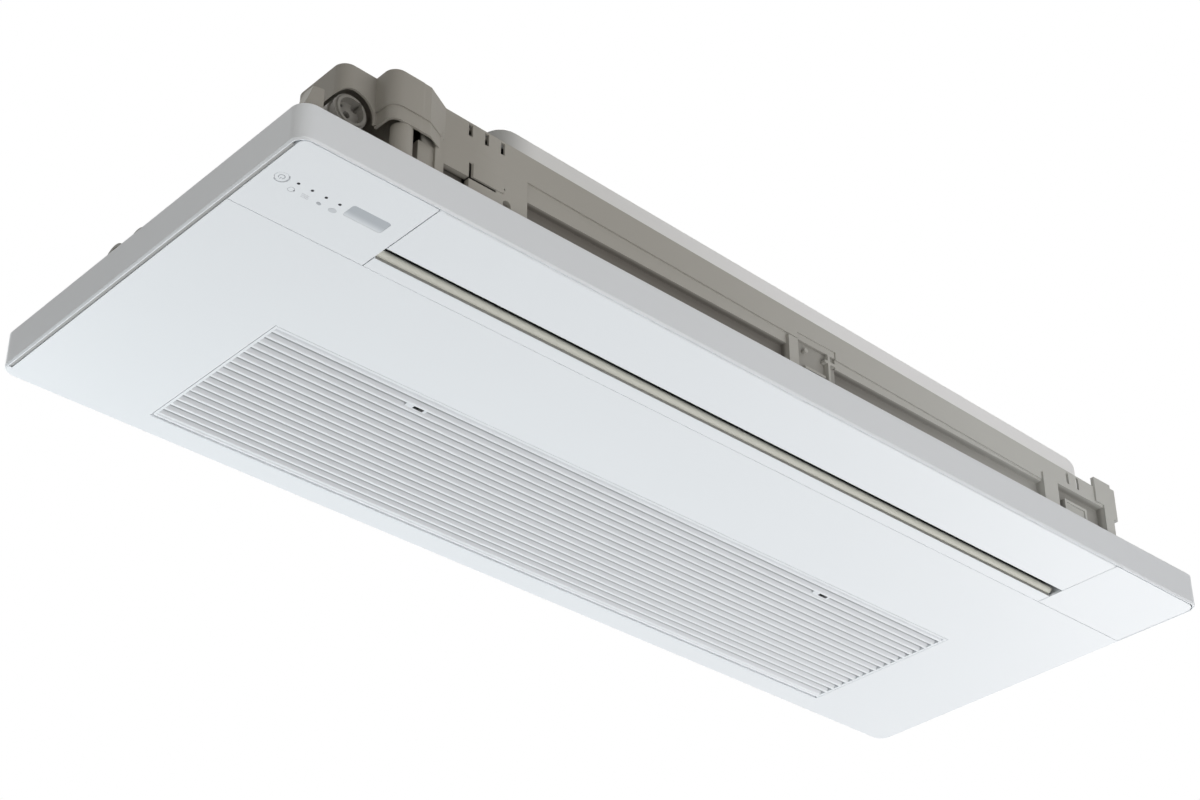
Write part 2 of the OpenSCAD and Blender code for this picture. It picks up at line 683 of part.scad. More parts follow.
// A lid with a bevelled top edge and other corners at its right end
module lid_shape(x0, x1, w, rl, rr, z0, z1, c) {
    yz_prism([[-w, z0], [w, z0], [w, z1-c], [w-c, z1], [-w+c, z1], [-w, z1-c]], x0+rl, x1-rr);
    xz_prism([[x0, z0], [x0+rl, z0], [x0+rl, z1], [x0+c, z1], [x0, z1-c]], -w+rl, w-rl);
    xz_prism([[x1-rr, z0], [x1, z0], [x1, z1-c], [x1-c, z1], [x1-rr, z1]], -w+rr, w-rr);
    for (s = [-1, 1]) {
        translate([x0+rl, s*(w-rl), z0]) cylinder(h=z1-c-z0, r=rl);
        translate([x0+rl, s*(w-rl), z1-c]) cylinder(h=c, r1=rl, r2=rl-c);
        translate([x1-rr, s*(w-rr), z0]) cylinder(h=z1-c-z0, r=rr);
        translate([x1-rr, s*(w-rr), z1-c]) cylinder(h=c, r1=rr, r2=rr-c);
    }
}

// Near lower wall, wing and bump at the left corner
wall_y0 = body_y0+undercut;
wing_x0 = body_x0-wing_l;
wing_y0 = body_y0+wing_set;
wing_z = port_z-6;
bump_x0 = body_x0-26;
bump_x1 = bump_x0+bump_l;
ramp_x1 = bump_x1+24;
bump_r = 12;
bump_z = 98;
bump_step_z = 84;
tray_x0 = body_x0-tray_l;
tray_y0 = body_y0-10;
tray_y1 = 118;
tray_z = 52;
port_x = wing_x0+port_in;
port_run = 34;                   // how far the port's cut reaches back, past its plug
plug_r = port_r-3;

// Outline of the wing and of the bump, shrunk by t
module wing_plan(t)
    translate([wing_x0+t, wing_y0+t])
        translate([(wing_l+30-2*t)/2, (wing_w-2*t)/2]) rr2(wing_l+30-2*t, wing_w-2*t, bump_r-t);
module bump_plan(t) {
    w = bump_out+40;
    translate([bump_x0+bump_l/2, body_y0-bump_out+w/2]) rr2(bump_l-2*t, w-2*t, bump_r-t);
    polygon([[bump_x0+bump_l/2, body_y0-bump_out+t], [bump_x1-2+t, body_y0-bump_out+0.6+t],
        [ramp_x1+t, body_y0+t], [ramp_x1+t, body_y0+base_t+2], [bump_x0+bump_l/2, body_y0+base_t+2]]);
}

module left_corner() {
    // wing, closed at its top, with the arch of the port in its face
    difference() {
        intersection() {
            translate([0, 0, wing_z]) linear_extrude(panel_w) wing_plan(0);
            below_rim();
        }
        intersection() {
            translate([0, 0, wing_z-1]) linear_extrude(panel_w) wing_plan(base_t);
            below_rim(-base_t);
        }
        rod_y(port_x, wing_y0-1, wing_y0+port_run, port_z, 2*port_r);
        box(port_x-port_r, port_x+port_r, wing_y0-1, wing_y0+port_run, wing_z-1, port_z);
        // clear of the body's own corner and of the bump's inside
        box(body_x0+base_t, panel_l, -panel_w, panel_w, 0, panel_w);
        intersection() {
            translate([0, 0, wing_z-2]) linear_extrude(panel_w) bump_plan(base_t);
            below_rim(-base_t);
        }
    }
    // bump, with a narrower lower step
    difference() {
        union() {
            intersection() {
                translate([0, 0, bump_z]) linear_extrude(panel_w) bump_plan(0);
                below_rim();
            }
            translate([0, 0, bump_step_z]) linear_extrude(bump_z-bump_step_z+1) bump_plan(step_in);
        }
        intersection() {
            translate([0, 0, bump_step_z-1]) linear_extrude(panel_w) bump_plan(base_t+step_in);
            below_rim(-base_t);
        }
        box(bump_x0-1, body_x0+base_t, wing_y0+base_t, panel_w, 0, panel_w);
        box(body_x0, panel_l, body_y0+base_t, panel_w, 0, panel_w);
    }
    // low tray round the pipes' way out
    difference() {
        union() {
            box(tray_x0, body_x0+eps, tray_y0, tray_y1, body_lift, floor_z);
            box(body_x0-eps, ramp_x1, tray_y0, wall_y0+eps, body_lift, floor_z);
            box(tray_x0, tray_x0+base_t, tray_y0, tray_y1, floor_z-eps, tray_z);
            box(tray_x0, body_x0+eps, tray_y1-base_t, tray_y1, floor_z-eps, tray_z);
            box(tray_x0, ramp_x1, tray_y0, tray_y0+base_t, floor_z-eps, tray_z-6);
        }
        for (p = [[gas_y, gas_z], [liquid_y, liquid_z]]) {
            rod_x(tray_x0-1, tray_x0+base_t+1, p[0], p[1], 2*sleeve_r+2*touch);
            box(tray_x0-1, tray_x0+base_t+1, p[0]-sleeve_r-touch, p[0]+sleeve_r+touch, p[1], tray_z+1);
        }
    }
    // lug at the tray's corner
    xz_prism([[tray_x0-6, floor_z-eps], [tray_x0+12, floor_z-eps], [tray_x0+12, port_z-19],
        [tray_x0+1, port_z-21], [tray_x0-6, tray_z-2]], tray_y0, tray_y0+13);
    // post under the bump
    difference() {
        translate([bump_x0+21, body_y0, floor_z-eps]) cylinder(h=85-floor_z, d=20);
        translate([bump_x0+21, body_y0, 72]) cylinder(h=30, d=9);
        box(bump_x0+26, bump_x0+40, body_y0-3, body_y0+3, 72, 90);
    }
    // saddle that carries the port's plug
    box(port_x-8, port_x+8, wing_y0+16, wing_y0+30, floor_z-eps, port_z-plug_r);
}

// Pipe routes
sleeve_r = 17;
gas_y = 77;
gas_z = 50;
liquid_y = 39.5;
liquid_z = 47;
pipe_x0 = tray_x0-2;
nut_gap = 4.2;   // room in the foam for the nut on a union

// Coil frame
coil_x0 = bay_x+22;
coil_x1 = cheek_x1-8.5;
coil_y = -38;
coil_z = 47;
plate_t = 1.2;
module on_coil() translate([0, coil_y, coil_z]) rotate([coil_tilt, 0, 0]) children();
function coil_under(y) = coil_z+(y-coil_y)*tan(coil_tilt);
pan_y0 = -60;
pan_y1 = 2;
pan_z1 = 46;
pan_t = 4;
pan_x0 = bay_x+4;
foot_y = 148;
foot_z = coil_under(foot_y)-5;
intake_x0 = coil_x0+6;
intake_x1 = coil_x1-6;
intake_y0 = grille_y0+4;
intake_y1 = grille_y1-4;

boss_h = 9;
cover_t = 1.5;
port_y = 157;        // drain pump and port
drain_z = 78;
side_screw_x = [-330, -60, 200, 440];
cover_screw_x = [body_x0+35];

// Details of the near wall: a box at the left, a clip in the middle, a bracket at the right
proud = 0.6;     // how far the left box stands out from the band
left_at = body_x0+37;
left_l = 99;
rib_out = 2;
hatch_l = 28;    // length of the box's lower recess
hatch_z = 73;    // its height
clip_l = 35;     // length of the clip's cover
clip_z = 89;     // height of the clip's cover
clip_gap = 3;
arch_z = 64.5;
arch_w = 9;
mid_l = 54;      // length of the middle clip's recess
mid_z = 94;      // height of that recess
mid_set = 4;     // depth of that recess
mid_rise = 7;    // how far its shallow top reaches into the band
shallow = 1.2;
right_l = 114;
right_foot = 24;
ledge_top = 92.5;
window_z = [61, 76];
module left_box() {
    front = body_y0-proud;
    x1 = left_at+left_l;
    difference() {
        union() {
            xz_prism([[left_at, 30], [x1, 30], [x1, rim_z(x1)-band_h+2],
                [left_at, rim_z(left_at)-band_h+2]], front, body_y0+base_t+3);
            for (x = [left_at, x1-base_t]) box(x, x+base_t, front, wall_y0+eps, 30, ledge_z);
            // ribs at its left end
            box(left_at-7, left_at+1, front-rib_out, body_y0+base_t, 30, 104);
            box(left_at-24, left_at, body_y0, body_y0+base_t, 30, bump_step_z);
            box(left_at-24, left_at-24+base_t, body_y0, wall_y0+eps, 30, bump_step_z);
            // cover of the clip
            box(left_at+hatch_l+8, left_at+hatch_l+8+clip_l, front-shallow, front+eps, hatch_z+1, clip_z);
        }
        box(left_at+4, left_at+4+hatch_l, front-1, wall_y0, 29, hatch_z);
        // gaps beside and below the clip's cover
        box(left_at+4+hatch_l, left_at+4+hatch_l+clip_gap, front-2, front+5, hatch_z-clip_gap/2, clip_z);
        box(left_at+4+hatch_l, left_at+hatch_l+clip_l, front-2, front+5, hatch_z-clip_gap/2, hatch_z+1);
        rod_y(left_at+72, front-1, front+4, clip_z-9, 2.6);
        // arch
        box(left_at+71, left_at+71+arch_w, front-1, front+5, 29, arch_z);
        rod_y(left_at+71+arch_w/2, front-1, front+5, arch_z, arch_w);
    }
}
module middle_clip() {
    for (x = [[-10, 3], [45, 48]]) {
        box(x[0], x[1], body_y0-rib_out, wall_y0+eps, 30, ledge_z);
        box(x[0], x[1], body_y0-rib_out, body_y0+base_t, ledge_z-eps, 91);
    }
    difference() {
        box(3, mid_l+6, body_y0+mid_set, wall_y0+eps, 30, mid_z);
        box(12, 41, body_y0, wall_y0-base_t, 59, 63);
    }
    // sill, knob and stop
    box(14, 43, body_y0, body_y0+mid_set+eps, 63.5, 66);
    rod_y(16, body_y0-0.5, body_y0+mid_set+eps, 84, 5);
    box(41, 56, body_y0-rib_out, body_y0+mid_set+eps, 81, 84);
}
module right_bracket() {
    x0 = body_x1-right_l;
    x1 = body_x1-9;
    for (x = [[x0, x0+right_foot], [x1, body_x1]]) {
        box(x[0], x[1], body_y0-rib_out, wall_y0+eps, 30, ledge_z);
        box(x[0], x[1], body_y0-rib_out, body_y0+base_t, ledge_z-eps, ledge_top);
    }
    for (x = [x0+right_foot-base_t, x1]) box(x, x+base_t, body_y0, wall_y0+base_t, ledge_z-eps, ledge_top);
    // wall and ledge over the recess, and the block in it
    box(x0+right_foot-eps, x1+eps, wall_y0, wall_y0+base_t, ledge_z, ledge_top);
    box(x0+right_foot-eps, x1+eps, body_y0+step_in, wall_y0+base_t, ledge_top-base_t, ledge_top);
    difference() {
        box(x0+38, x0+75, body_y0+1, wall_y0+eps, 30, window_z[1]);
        box(x0+41, x0+72, body_y0, body_y0+2.4, window_z[0]-31, window_z[1]-3);
    }
    // end piece with its two tabs
    box(body_x1-22, body_x1+6, body_y0-rib_out, body_y0+base_t, ledge_top-eps, rim_z(body_x1)+12);
    box(body_x1-eps, body_x1+6, body_y0-rib_out, body_y0+base_t, 30, ledge_top);
    for (z = [80, 99]) box(body_x1+5, body_x1+13, body_y0-rib_out, body_y0+8, z, z+20);
}
// What those details cut out of the band and the step
module detail_cuts() {
    box(5, 5+mid_l, body_y0-1, body_y0+mid_set, ledge_z-1, mid_z-eps);
    box(5, 5+mid_l, body_y0-1, body_y0+shallow, mid_z-1, mid_z+mid_rise);
    box(body_x1-right_l+right_foot, body_x1-9, body_y0-1, wall_y0, ledge_z-1, ledge_top-base_t);
}

module base_frame() color(grey)
    difference() {
        union() {
            // floor and lower walls
            box(body_x0, body_x1, wall_y0, body_y1, body_lift, floor_z);
            box(body_x0, body_x1, wall_y0, wall_y0+base_t, floor_z-eps, ledge_z+base_t);
            // step and band of the near wall
            difference() {
                union() {
                    box(bump_x1, body_x1, body_y0+step_in, wall_y0+base_t, ledge_z, ledge_z+base_t);
                    xz_prism([[bump_x1, ledge_z], [body_x1, ledge_z], [body_x1, rim_z(body_x1)-band_h+2],
                        [bump_x1, rim_z(bump_x1)-band_h+2]], body_y0+step_in, body_y0+step_in+base_t);
                    xz_prism([[ramp_x1, rim_z(ramp_x1)-band_h], [body_x1, rim_z(body_x1)-band_h],
                        [body_x1, rim_z(body_x1)], [ramp_x1, rim_z(ramp_x1)]], body_y0, body_y0+base_t);
                }
                detail_cuts();
            }
            // other walls
            pitched_wall(body_x0, body_x1, body_y1-base_t, body_y1, floor_z-eps);
            pitched_wall(body_x0, body_x0+base_t, body_y0+base_t+eps, body_y1, floor_z-eps);
            pitched_wall(body_x1-base_t, body_x1, wall_y0, body_y1, floor_z-eps);
            pitched_wall(body_x1-base_t, body_x1, body_y0, body_y1, ledge_z);
            // deck beside the casing's right end
            xz_prism([[casing_x1+touch, rim_z(casing_x1)-base_t], [body_x1, rim_z(body_x1)-base_t],
                [body_x1, rim_z(body_x1)], [casing_x1+touch, rim_z(casing_x1)]], body_y0, body_y1);
            // shelves under the bay's cover
            for (s = [-1, 1])
                xz_prism([[body_x0, rim_z(body_x0)-cover_t-4], [casing_x0, rim_z(casing_x0)-cover_t-4],
                    [casing_x0, rim_z(casing_x0)-cover_t-1], [body_x0, rim_z(body_x0)-cover_t-1]],
                    s > 0 ? body_y1-base_t-5 : body_y0+base_t-eps,
                    s > 0 ? body_y1-base_t+eps : body_y0+base_t+5);
            // posts under the coil's far edge
            for (x = [coil_x0-6, coil_x1-5]) box(x, x+11, foot_y-8, foot_y+8, floor_z-eps, foot_z);
            // bosses for the panel's screws
            for (p = panel_screw_at) translate([p[0], p[1], body_lift]) cylinder(h=base_t+boss_h, d=screw_d+5);
            left_box();
            middle_clip();
            right_bracket();
            left_corner();
        }
        // hole in the left box's recess and gaps beside the right bracket's block
        rod_y(left_at+14, wall_y0-1, wall_y0+base_t+1, 67, 5);
        for (x = [33, 76]) translate([body_x1-right_l+x, 0, 0])
            box(0, 3, wall_y0-1, wall_y0+base_t+1, window_z[0], window_z[1]);
        // air outlet and intake
        box(bay_x+base_t, cheek_x1-base_t, duct_y0, duct_y1, 0, floor_z+1);
        box(intake_x0, intake_x1, intake_y0, intake_y1, 0, floor_z+1);
        for (p = panel_screw_at) translate([p[0], p[1], 0]) cylinder(h=2*body_lift, d=screw_d+0.1);
        // ways out for pipes and drain
        for (p = [[gas_y, gas_z], [liquid_y, liquid_z]])
            rod_x(body_x0-1, body_x0+base_t+1, p[0], p[1], 2*sleeve_r+2*touch);
        rod_x(body_x0-1, body_x0+base_t+1, port_y, drain_z, drain_d+2*touch);
        // slots in the band's rim
        for (i = [0 : 2])
            box(body_x0+68+18.5*i, body_x0+72.5+18.5*i, body_y0-1, body_y0+base_t+1,
                rim_z(body_x0+70+18.5*i)-15, rim_z(body_x0+70+18.5*i)-2);
        for (i = [0, 1])
            box(body_x1-70+17*i, body_x1-66+17*i, body_y0-1, body_y0+base_t+1,
                rim_z(body_x1-68+17*i)-16, rim_z(body_x1-68+17*i)-2);
        // screw holes for the casing and the bay's cover
        for (x = side_screw_x) rod_y(x, body_y1-base_t-1, body_y1+1, rim_z(x)-8, screw_d+0.4);
        for (x = cover_screw_x, s = [-1, 1])
            translate([x, s*(body_y1-base_t-3), 0]) cylinder(h=panel_w, d=screw_d-0.9);
        for (s = [-1, 1], x = [body_x0, body_x1])
            rod_x(x-base_t-1, x+base_t+1, s*hanger_y/2, hanger_z-14, screw_d+0.1);
    }

casing_w = body_w/2-base_t-touch;
casing_r2 = 50;
module top_casing() color(white)
    difference() {
        on_pitch() difference() {
            union() {
                lid_shape(casing_x0, casing_x1, casing_w, casing_r, casing_r2, -band_h+2+touch, roof_rise, 4);
                // stamped beads
                for (x = [-300 : 140 : 300])
                    translate([x+40, 0, roof_rise-eps]) linear_extrude(1.2) rr2(90, 250, 20);
            }
            lid_shape(casing_x0+sheet_t, casing_x1-sheet_t, casing_w-sheet_t, casing_r-sheet_t,
                casing_r2-sheet_t, -band_h, roof_rise-sheet_t, 4);
            // the left end stops at the bay's cover, over coil and fan
            box(casing_x0-1, casing_x0+casing_r+1, -body_w, body_w, -body_w, -1);
        }
        // notch over the right bracket's ledge
        box(body_x1-right_l+right_foot-base_t-touch, panel_l, -panel_w, wall_y0+base_t+touch, 0, ledge_top+touch);
        for (x = side_screw_x) rod_y(x, body_y1-base_t-5, body_y1+1, rim_z(x)-8, screw_d+0.1);
    }

module roof_liner() color([0.30, 0.31, 0.33])
    on_pitch() box(casing_x0+12, casing_x1-30, -casing_w+25, casing_w-25,
        roof_rise-sheet_t-liner_t, roof_rise-sheet_t);

module bay_cover() color(steel)
    difference() {
        let (x0 = body_x0+base_t+touch, x1 = casing_x0-touch)
            xz_prism([[x0, rim_z(x0)-cover_t-1], [x1, rim_z(x1)-cover_t-1], [x1, rim_z(x1)-1],
                [x0, rim_z(x0)-1]], -casing_w, casing_w);
        for (x = cover_screw_x, s = [-1, 1])
            translate([x, s*(body_y1-base_t-3), 0]) cylinder(h=panel_w, d=screw_d);
    }

module case_screws() color(steel) {
    for (x = side_screw_x)
        translate([x, body_y1, rim_z(x)-8]) rotate([90, 0, 0]) screw(screw_d, 9, 8, 2.2);
    for (x = cover_screw_x, s = [-1, 1])
        translate([x, s*(body_y1-base_t-3), rim_z(x-4)-1]) mirror([0, 0, 1]) screw(screw_d-1, 6, 6, 1.6);
}

// Drain pan of foam: trough under the coil, channel and sump for the pump
sump_y0 = port_y-20;
sump_y1 = port_y+24;
module drain_pan() color([0.88, 0.88, 0.86])
    difference() {
        union() {
            box(pan_x0, cheek_x1-base_t, pan_y0, pan_y1, floor_z, pan_z1);
            box(pan_x0, pan_x0+11, pan_y0, sump_y1, floor_z, pan_z1-6);
            box(body_x0+base_t+touch, pan_x0+11, sump_y0, sump_y1, floor_z, pan_z1-6);
        }
        box(pan_x0+pan_t, cheek_x1-base_t-pan_t, pan_y0+pan_t, pan_y1-pan_t, floor_z+pan_t, panel_w);
        box(pan_x0+2, pan_x0+9, pan_y1-pan_t-eps, sump_y0+pan_t, floor_z+pan_t-0.5, panel_w);
        box(body_x0+base_t+touch+pan_t, pan_x0+9, sump_y0+pan_t, sump_y1-pan_t, floor_z+pan_t-1, panel_w);
    }

module drain_plug() color(grey)
    difference() {
        union() {
            rod_y(port_x, wing_y0+4, wing_y0+32, port_z, 2*plug_r-4);
            rod_y(port_x, wing_y0+6, wing_y0+9, port_z, 2*plug_r);
            rod_y(port_x, wing_y0+16, wing_y0+30, port_z, 2*plug_r);
        }
        rod_y(port_x, wing_y0, wing_y0+12, port_z, 2*plug_r-9);
        rod_y(port_x, wing_y0, wing_y0+20, port_z, 7);
        rod_y(port_x-6, wing_y0, wing_y0+16, port_z+7, 3.4);
        box(port_x+4, port_x+10, wing_y0, wing_y0+16, port_z+6, port_z+12);
    }

pump_x = body_x0+31;
carry_z = drain_z+17;
module drain_pump() color(dark) {
    translate([pump_x, port_y, floor_z+pan_t+1]) cylinder(h=12, d=26);
    translate([pump_x, port_y, floor_z+pan_t+13]) cylinder(h=12, d=14);
    translate([pump_x, port_y, floor_z+pan_t+25]) cylinder(h=carry_z-floor_z-pan_t-25, d=40);
    rod_x(pump_x-26, pump_x, port_y, drain_z, 12);
    // plate that carries the pump, screwed to the end wall
    box(body_x0+base_t, pan_x0, port_y-16, port_y+16, carry_z, carry_z+2);
    box(body_x0+base_t, body_x0+base_t+2, port_y-16, port_y+16, carry_z, carry_z+14);
}

module drain_port() color([0.70, 0.70, 0.68])
    difference() {
        union() {
            rod_x(body_x0-40, body_x0-2, port_y, drain_z, drain_d);
            rod_x(body_x0-2-eps, pump_x-21, port_y, drain_z, drain_d-1);
            rod_x(body_x0+base_t, body_x0+base_t+2, port_y, drain_z, drain_d+7);
        }
        rod_x(body_x0-41, pump_x-23, port_y, drain_z, drain_d-6);
        rod_x(body_x0-41, pump_x-20, port_y, drain_z, 12.1);
    }

float_x = pan_x0-10;
float_h = 12;
float_z = floor_z+pan_t+1;
module float_switch() color(white) {
    box(float_x-7, float_x+7, port_y-7, port_y+7, float_z+float_h+14, carry_z);
    translate([float_x, port_y, float_z]) cylinder(h=float_h+15, d=3);
}
module float_ball() color([0.92, 0.55, 0.22])
    difference() {
        translate([float_x, port_y, float_z]) cylinder(h=float_h, d=13);
        translate([float_x, port_y, float_z-1]) cylinder(h=float_h+2, d=3.2);
    }

// Fins on a plain core, grooved above and below
fin_t = 1.6;
fin_cut = 6;
module coil_fins() color([0.82, 0.83, 0.84])
    on_coil() difference() {
        translate([coil_x0, 0, 0]) cube([coil_x1-coil_x0, coil_w, coil_t]);
        for (x = [coil_x0+fin_t : fin_pitch : coil_x1-fin_pitch], z = [-1, coil_t-fin_cut])
            translate([x, -1, z]) cube([fin_pitch-fin_t, coil_w+2, fin_cut+1]);
    }

rows = 2*tube_bends;
row_pitch = coil_w/rows;
row_z = [coil_t/4, 3*coil_t/4];
manifold = 14;
module bend(w, z, s)
    translate([s > 0 ? coil_x1+plate_t : coil_x0-plate_t, w, z]) rotate([0, 0, -90*s])
        rotate_extrude(angle=180) translate([row_pitch/2, 0]) circle(d=tube_d);
module coil_tubes() color(copper)
    on_coil() {
        for (z = row_z, k = [0 : tube_bends-1]) bend((2*k+1)*row_pitch, z, 1);
        for (z = row_z, k = [1 : tube_bends-1]) bend(2*k*row_pitch, z, -1);
        // manifolds that join the last tubes of both rows
        for (w = [row_pitch/2, coil_w-row_pitch/2])
            translate([coil_x0-plate_t-manifold, w-manifold/2, 1]) cube([manifold, manifold, coil_t-2]);
    }

module coil_end_plates() color(steel)
    for (x = [coil_x0-plate_t, coil_x1]) {
        on_coil() translate([x, -2, -2]) cube([plate_t, coil_w+4, coil_t+4]);
        yz_prism([[foot_y-8, foot_z], [foot_y+8, foot_z], [foot_y+8, coil_under(foot_y+8)+4],
            [foot_y-8, coil_under(foot_y-8)+4]], x, x+plate_t);
        yz_prism([[coil_y+4, floor_z+pan_t], [coil_y+20, floor_z+pan_t],
            [coil_y+20, coil_under(coil_y+20)+4], [coil_y+4, coil_under(coil_y+4)+4]], x, x+plate_t);
    }

// A pipe through a list of points, with round elbows
module pipe(pts, d)
    for (i = [0 : len(pts)-2]) {
        a = pts[i];
        b = pts[i+1];
        if (a[0] != b[0]) rod_x(min(a[0], b[0]), max(a[0], b[0]), a[1], a[2], d);
        if (a[1] != b[1]) rod_y(a[0], min(a[1], b[1]), max(a[1], b[1]), a[2], d);
        if (a[2] != b[2]) translate([a[0], a[1], min(a[2], b[2])]) cylinder(h=abs(b[2]-a[2]), d=d);
        if (i > 0) translate(a) sphere(d=d);
    }
function coil_pt(w) = [coil_x0-plate_t-manifold, coil_y+w*cos(coil_tilt)-coil_t/2*sin(coil_tilt),
    coil_z+w*sin(coil_tilt)+coil_t/2*cos(coil_tilt)];
gas_at = coil_pt(coil_w-row_pitch/2);
liquid_at = coil_pt(row_pitch/2);
// Union that the nut of the pipe laid on site goes over
module pipe_union(y, z, d, bore)
    difference() {
        rod_x(pipe_x0, pipe_x0+union_l, y, z, d);
        rod_x(pipe_x0-1, pipe_x0+union_l+1, y, z, bore);
        translate([pipe_x0-eps, y, z]) rotate([0, 90, 0]) cylinder(h=2, d1=bore+3, d2=bore-1);
    }
module gas_pipe() color(copper) {
    x = gas_at[0]-8;
    difference() {
        pipe([gas_at, [x, gas_at[1], gas_at[2]], [x, gas_y, gas_at[2]], [x, gas_y, gas_z],
            [pipe_x0+union_l-1, gas_y, gas_z]], gas_d);
        rod_x(pipe_x0-1, pipe_x0+60, gas_y, gas_z, gas_d-2);
    }
    pipe_union(gas_y, gas_z, gas_union_d, gas_d-2);
}
module liquid_pipe() color(copper) {
    x = liquid_at[0]-5;
    difference() {
        pipe([liquid_at, [x, liquid_at[1], liquid_at[2]], [x, liquid_y, liquid_at[2]],
            [x, liquid_y, liquid_z], [pipe_x0+union_l-1, liquid_y, liquid_z]], liquid_d);
        rod_x(pipe_x0-1, pipe_x0+60, liquid_y, liquid_z, liquid_d-2);
    }
    pipe_union(liquid_y, liquid_z, liquid_union_d, liquid_d-2);
}
module pipe_sleeves() color([0.78, 0.78, 0.77])
    for (p = [[gas_y, gas_z, gas_d, gas_union_d], [liquid_y, liquid_z, liquid_d, liquid_union_d]])
        difference() {
            rod_x(tray_x0-2, body_x0+12, p[0], p[1], 2*sleeve_r);
            rod_x(tray_x0-3, body_x0+13, p[0], p[1], p[2]+0.1);
            rod_x(tray_x0-3, pipe_x0+union_l+1.5, p[0], p[1], p[3]+2*nut_gap);
        }

// Curved fan blades as strips between two arcs
blade_t = 1.2;
blade_n = 4;
function blade_pt(k, o) = [fan_r-1-9*k/blade_n, 2.2*sin(180*k/blade_n)-5*k/blade_n+o];
blade_pts = concat([for (k = [0 : blade_n]) blade_pt(k, 0)], [for (k = [blade_n : -1 : 0]) blade_pt(k, blade_t)]);
hub_l = 14;
part_l = (fan_l-3)/fan_parts;
module crossflow_fan() color([0.24, 0.25, 0.26])
    translate([0, fan_y, fan_z]) difference() {
        union() {
            for (i = [0 : fan_blades-1]) rotate([i*360/fan_blades, 0, 0])
                yz_prism(blade_pts, fan_x0+1, fan_x1-1);
            for (i = [0 : fan_parts]) difference() {
                rod_x(fan_x0+i*part_l, fan_x0+i*part_l+3, 0, 0, 2*fan_r);
                if (i > 0 && i < fan_parts) rod_x(fan_x0+i*part_l-1, fan_x0+i*part_l+4, 0, 0, 2*fan_r-24);
            }
            rod_x(fan_x0, fan_x0+hub_l, 0, 0, 2.6*shaft_d);
            rod_x(fan_x1-hub_l, fan_x1, 0, 0, 2.6*shaft_d);
        }
        rod_x(fan_x0-1, fan_x0+hub_l+1, 0, 0, shaft_d);
        rod_x(fan_x1-hub_l-1, fan_x1+1, 0, 0, shaft_d);
    }

can_r = 37;
can_x0 = body_x0+8;
can_x1 = bay_x-4;
module fan_shaft() color(steel) {
    rod_x(can_x1-18, fan_x0+hub_l, fan_y, fan_z, shaft_d);
    rod_x(fan_x1-hub_l, cheek_x1+8, fan_y, fan_z, shaft_d);
}
module fan_motor() color([0.62, 0.63, 0.64])
    difference() {
        union() {
            rod_x(can_x0+6, can_x1-2, fan_y, fan_z, 2*can_r);
            rod_x(can_x0, can_x0+7, fan_y, fan_z, 2*can_r-24);
            rod_x(can_x1-3, can_x1, fan_y, fan_z, 3*shaft_d);
        }
        rod_x(can_x1-19, can_x1+1, fan_y, fan_z, shaft_d+0.1);
    }
clamp_z = fan_z-20;
ear = 9;
module motor_clamp() color(steel) {
    x0 = can_x0+14;
    x1 = can_x1-10;
    difference() {
        box(x0, x1, fan_y-can_r-ear, fan_y+can_r+ear, floor_z, clamp_z);
        rod_x(x0-1, x1+1, fan_y, fan_z, 2*can_r+0.1);
        box(x0+4, x1-4, fan_y-can_r-ear+4, fan_y+can_r+ear-4, floor_z+3, fan_z-can_r-4);
    }
    // strap over the motor
    difference() {
        union() {
            rod_x(x0+8, x1-8, fan_y, fan_z, 2*can_r+4);
            box(x0+8, x1-8, fan_y-can_r-ear, fan_y+can_r+ear, clamp_z, clamp_z+2);
        }
        rod_x(x0, x1, fan_y, fan_z, 2*can_r+0.1);
        box(x0, x1, fan_y-can_r-ear-1, fan_y+can_r+ear+1, 0, clamp_z);
    }
    for (s = [-1, 1]) translate([(x0+x1)/2, fan_y+s*(can_r+ear-3.5), clamp_z+2]) cylinder(h=2.4, d=6);
}
bush_r = 11;
module fan_bearing() color(dark)
    difference() {
        union() {
            rod_x(cheek_x1-base_t, cheek_x1+9, fan_y, fan_z, 2*bush_r);
            rod_x(cheek_x1+3, cheek_x1+5, fan_y, fan_z, 2*bush_r+6);
        }
        rod_x(cheek_x1-base_t-1, cheek_x1+10, fan_y, fan_z, shaft_d+0.1);
    }
module bearing_bracket() color(steel) {
    difference() {
        box(cheek_x1, cheek_x1+1.5, fan_y-26, fan_y+26, fan_z-26, fan_z+26);
        rod_x(cheek_x1-1, cheek_x1+3, fan_y, fan_z, 2*bush_r+0.1);
    }
    difference() {
        rod_x(cheek_x1+1.5, cheek_x1+9, fan_y, fan_z, 2*bush_r+12);
        rod_x(cheek_x1+1, cheek_x1+10, fan_y, fan_z, 2*bush_r+0.1);
        rod_x(cheek_x1+2.9, cheek_x1+5.1, fan_y, fan_z, 2*bush_r+6.2);
    }
    for (a = [45 : 90 : 315]) rod_x(cheek_x1+1.5, cheek_x1+3.5, fan_y+29*cos(a), fan_z+29*sin(a), 6);
}

// Scroll: its inner face opens from scroll_r and then runs down to the outlet
scroll_n = 20;
scroll_a0 = 50;
scroll_a1 = 190;
scroll_grow = 8;
throat_z = 45;
throat_y = duct_y0+14;
function scroll_at(i, o) = let (a = scroll_a0+(scroll_a1-scroll_a0)*i/scroll_n,
    r = scroll_r+scroll_grow*i/scroll_n+o) [fan_y+r*cos(a), fan_z+r*sin(a)];
scroll_pts = concat([for (i = [0 : scroll_n]) scroll_at(i, 0)],
    [[throat_y, throat_z], [duct_y0, floor_z], [duct_y0-scroll_t, floor_z], [throat_y-scroll_t, throat_z+1]],
    [for (i = [scroll_n : -1 : 0]) scroll_at(i, scroll_t)]);
cheek_pts = concat([for (i = [0 : 2 : scroll_n]) scroll_at(i, scroll_t)],
    [[throat_y-scroll_t, throat_z+1], [duct_y0-scroll_t, floor_z], [pan_y0-2, floor_z], [pan_y0-2, fan_z]]);
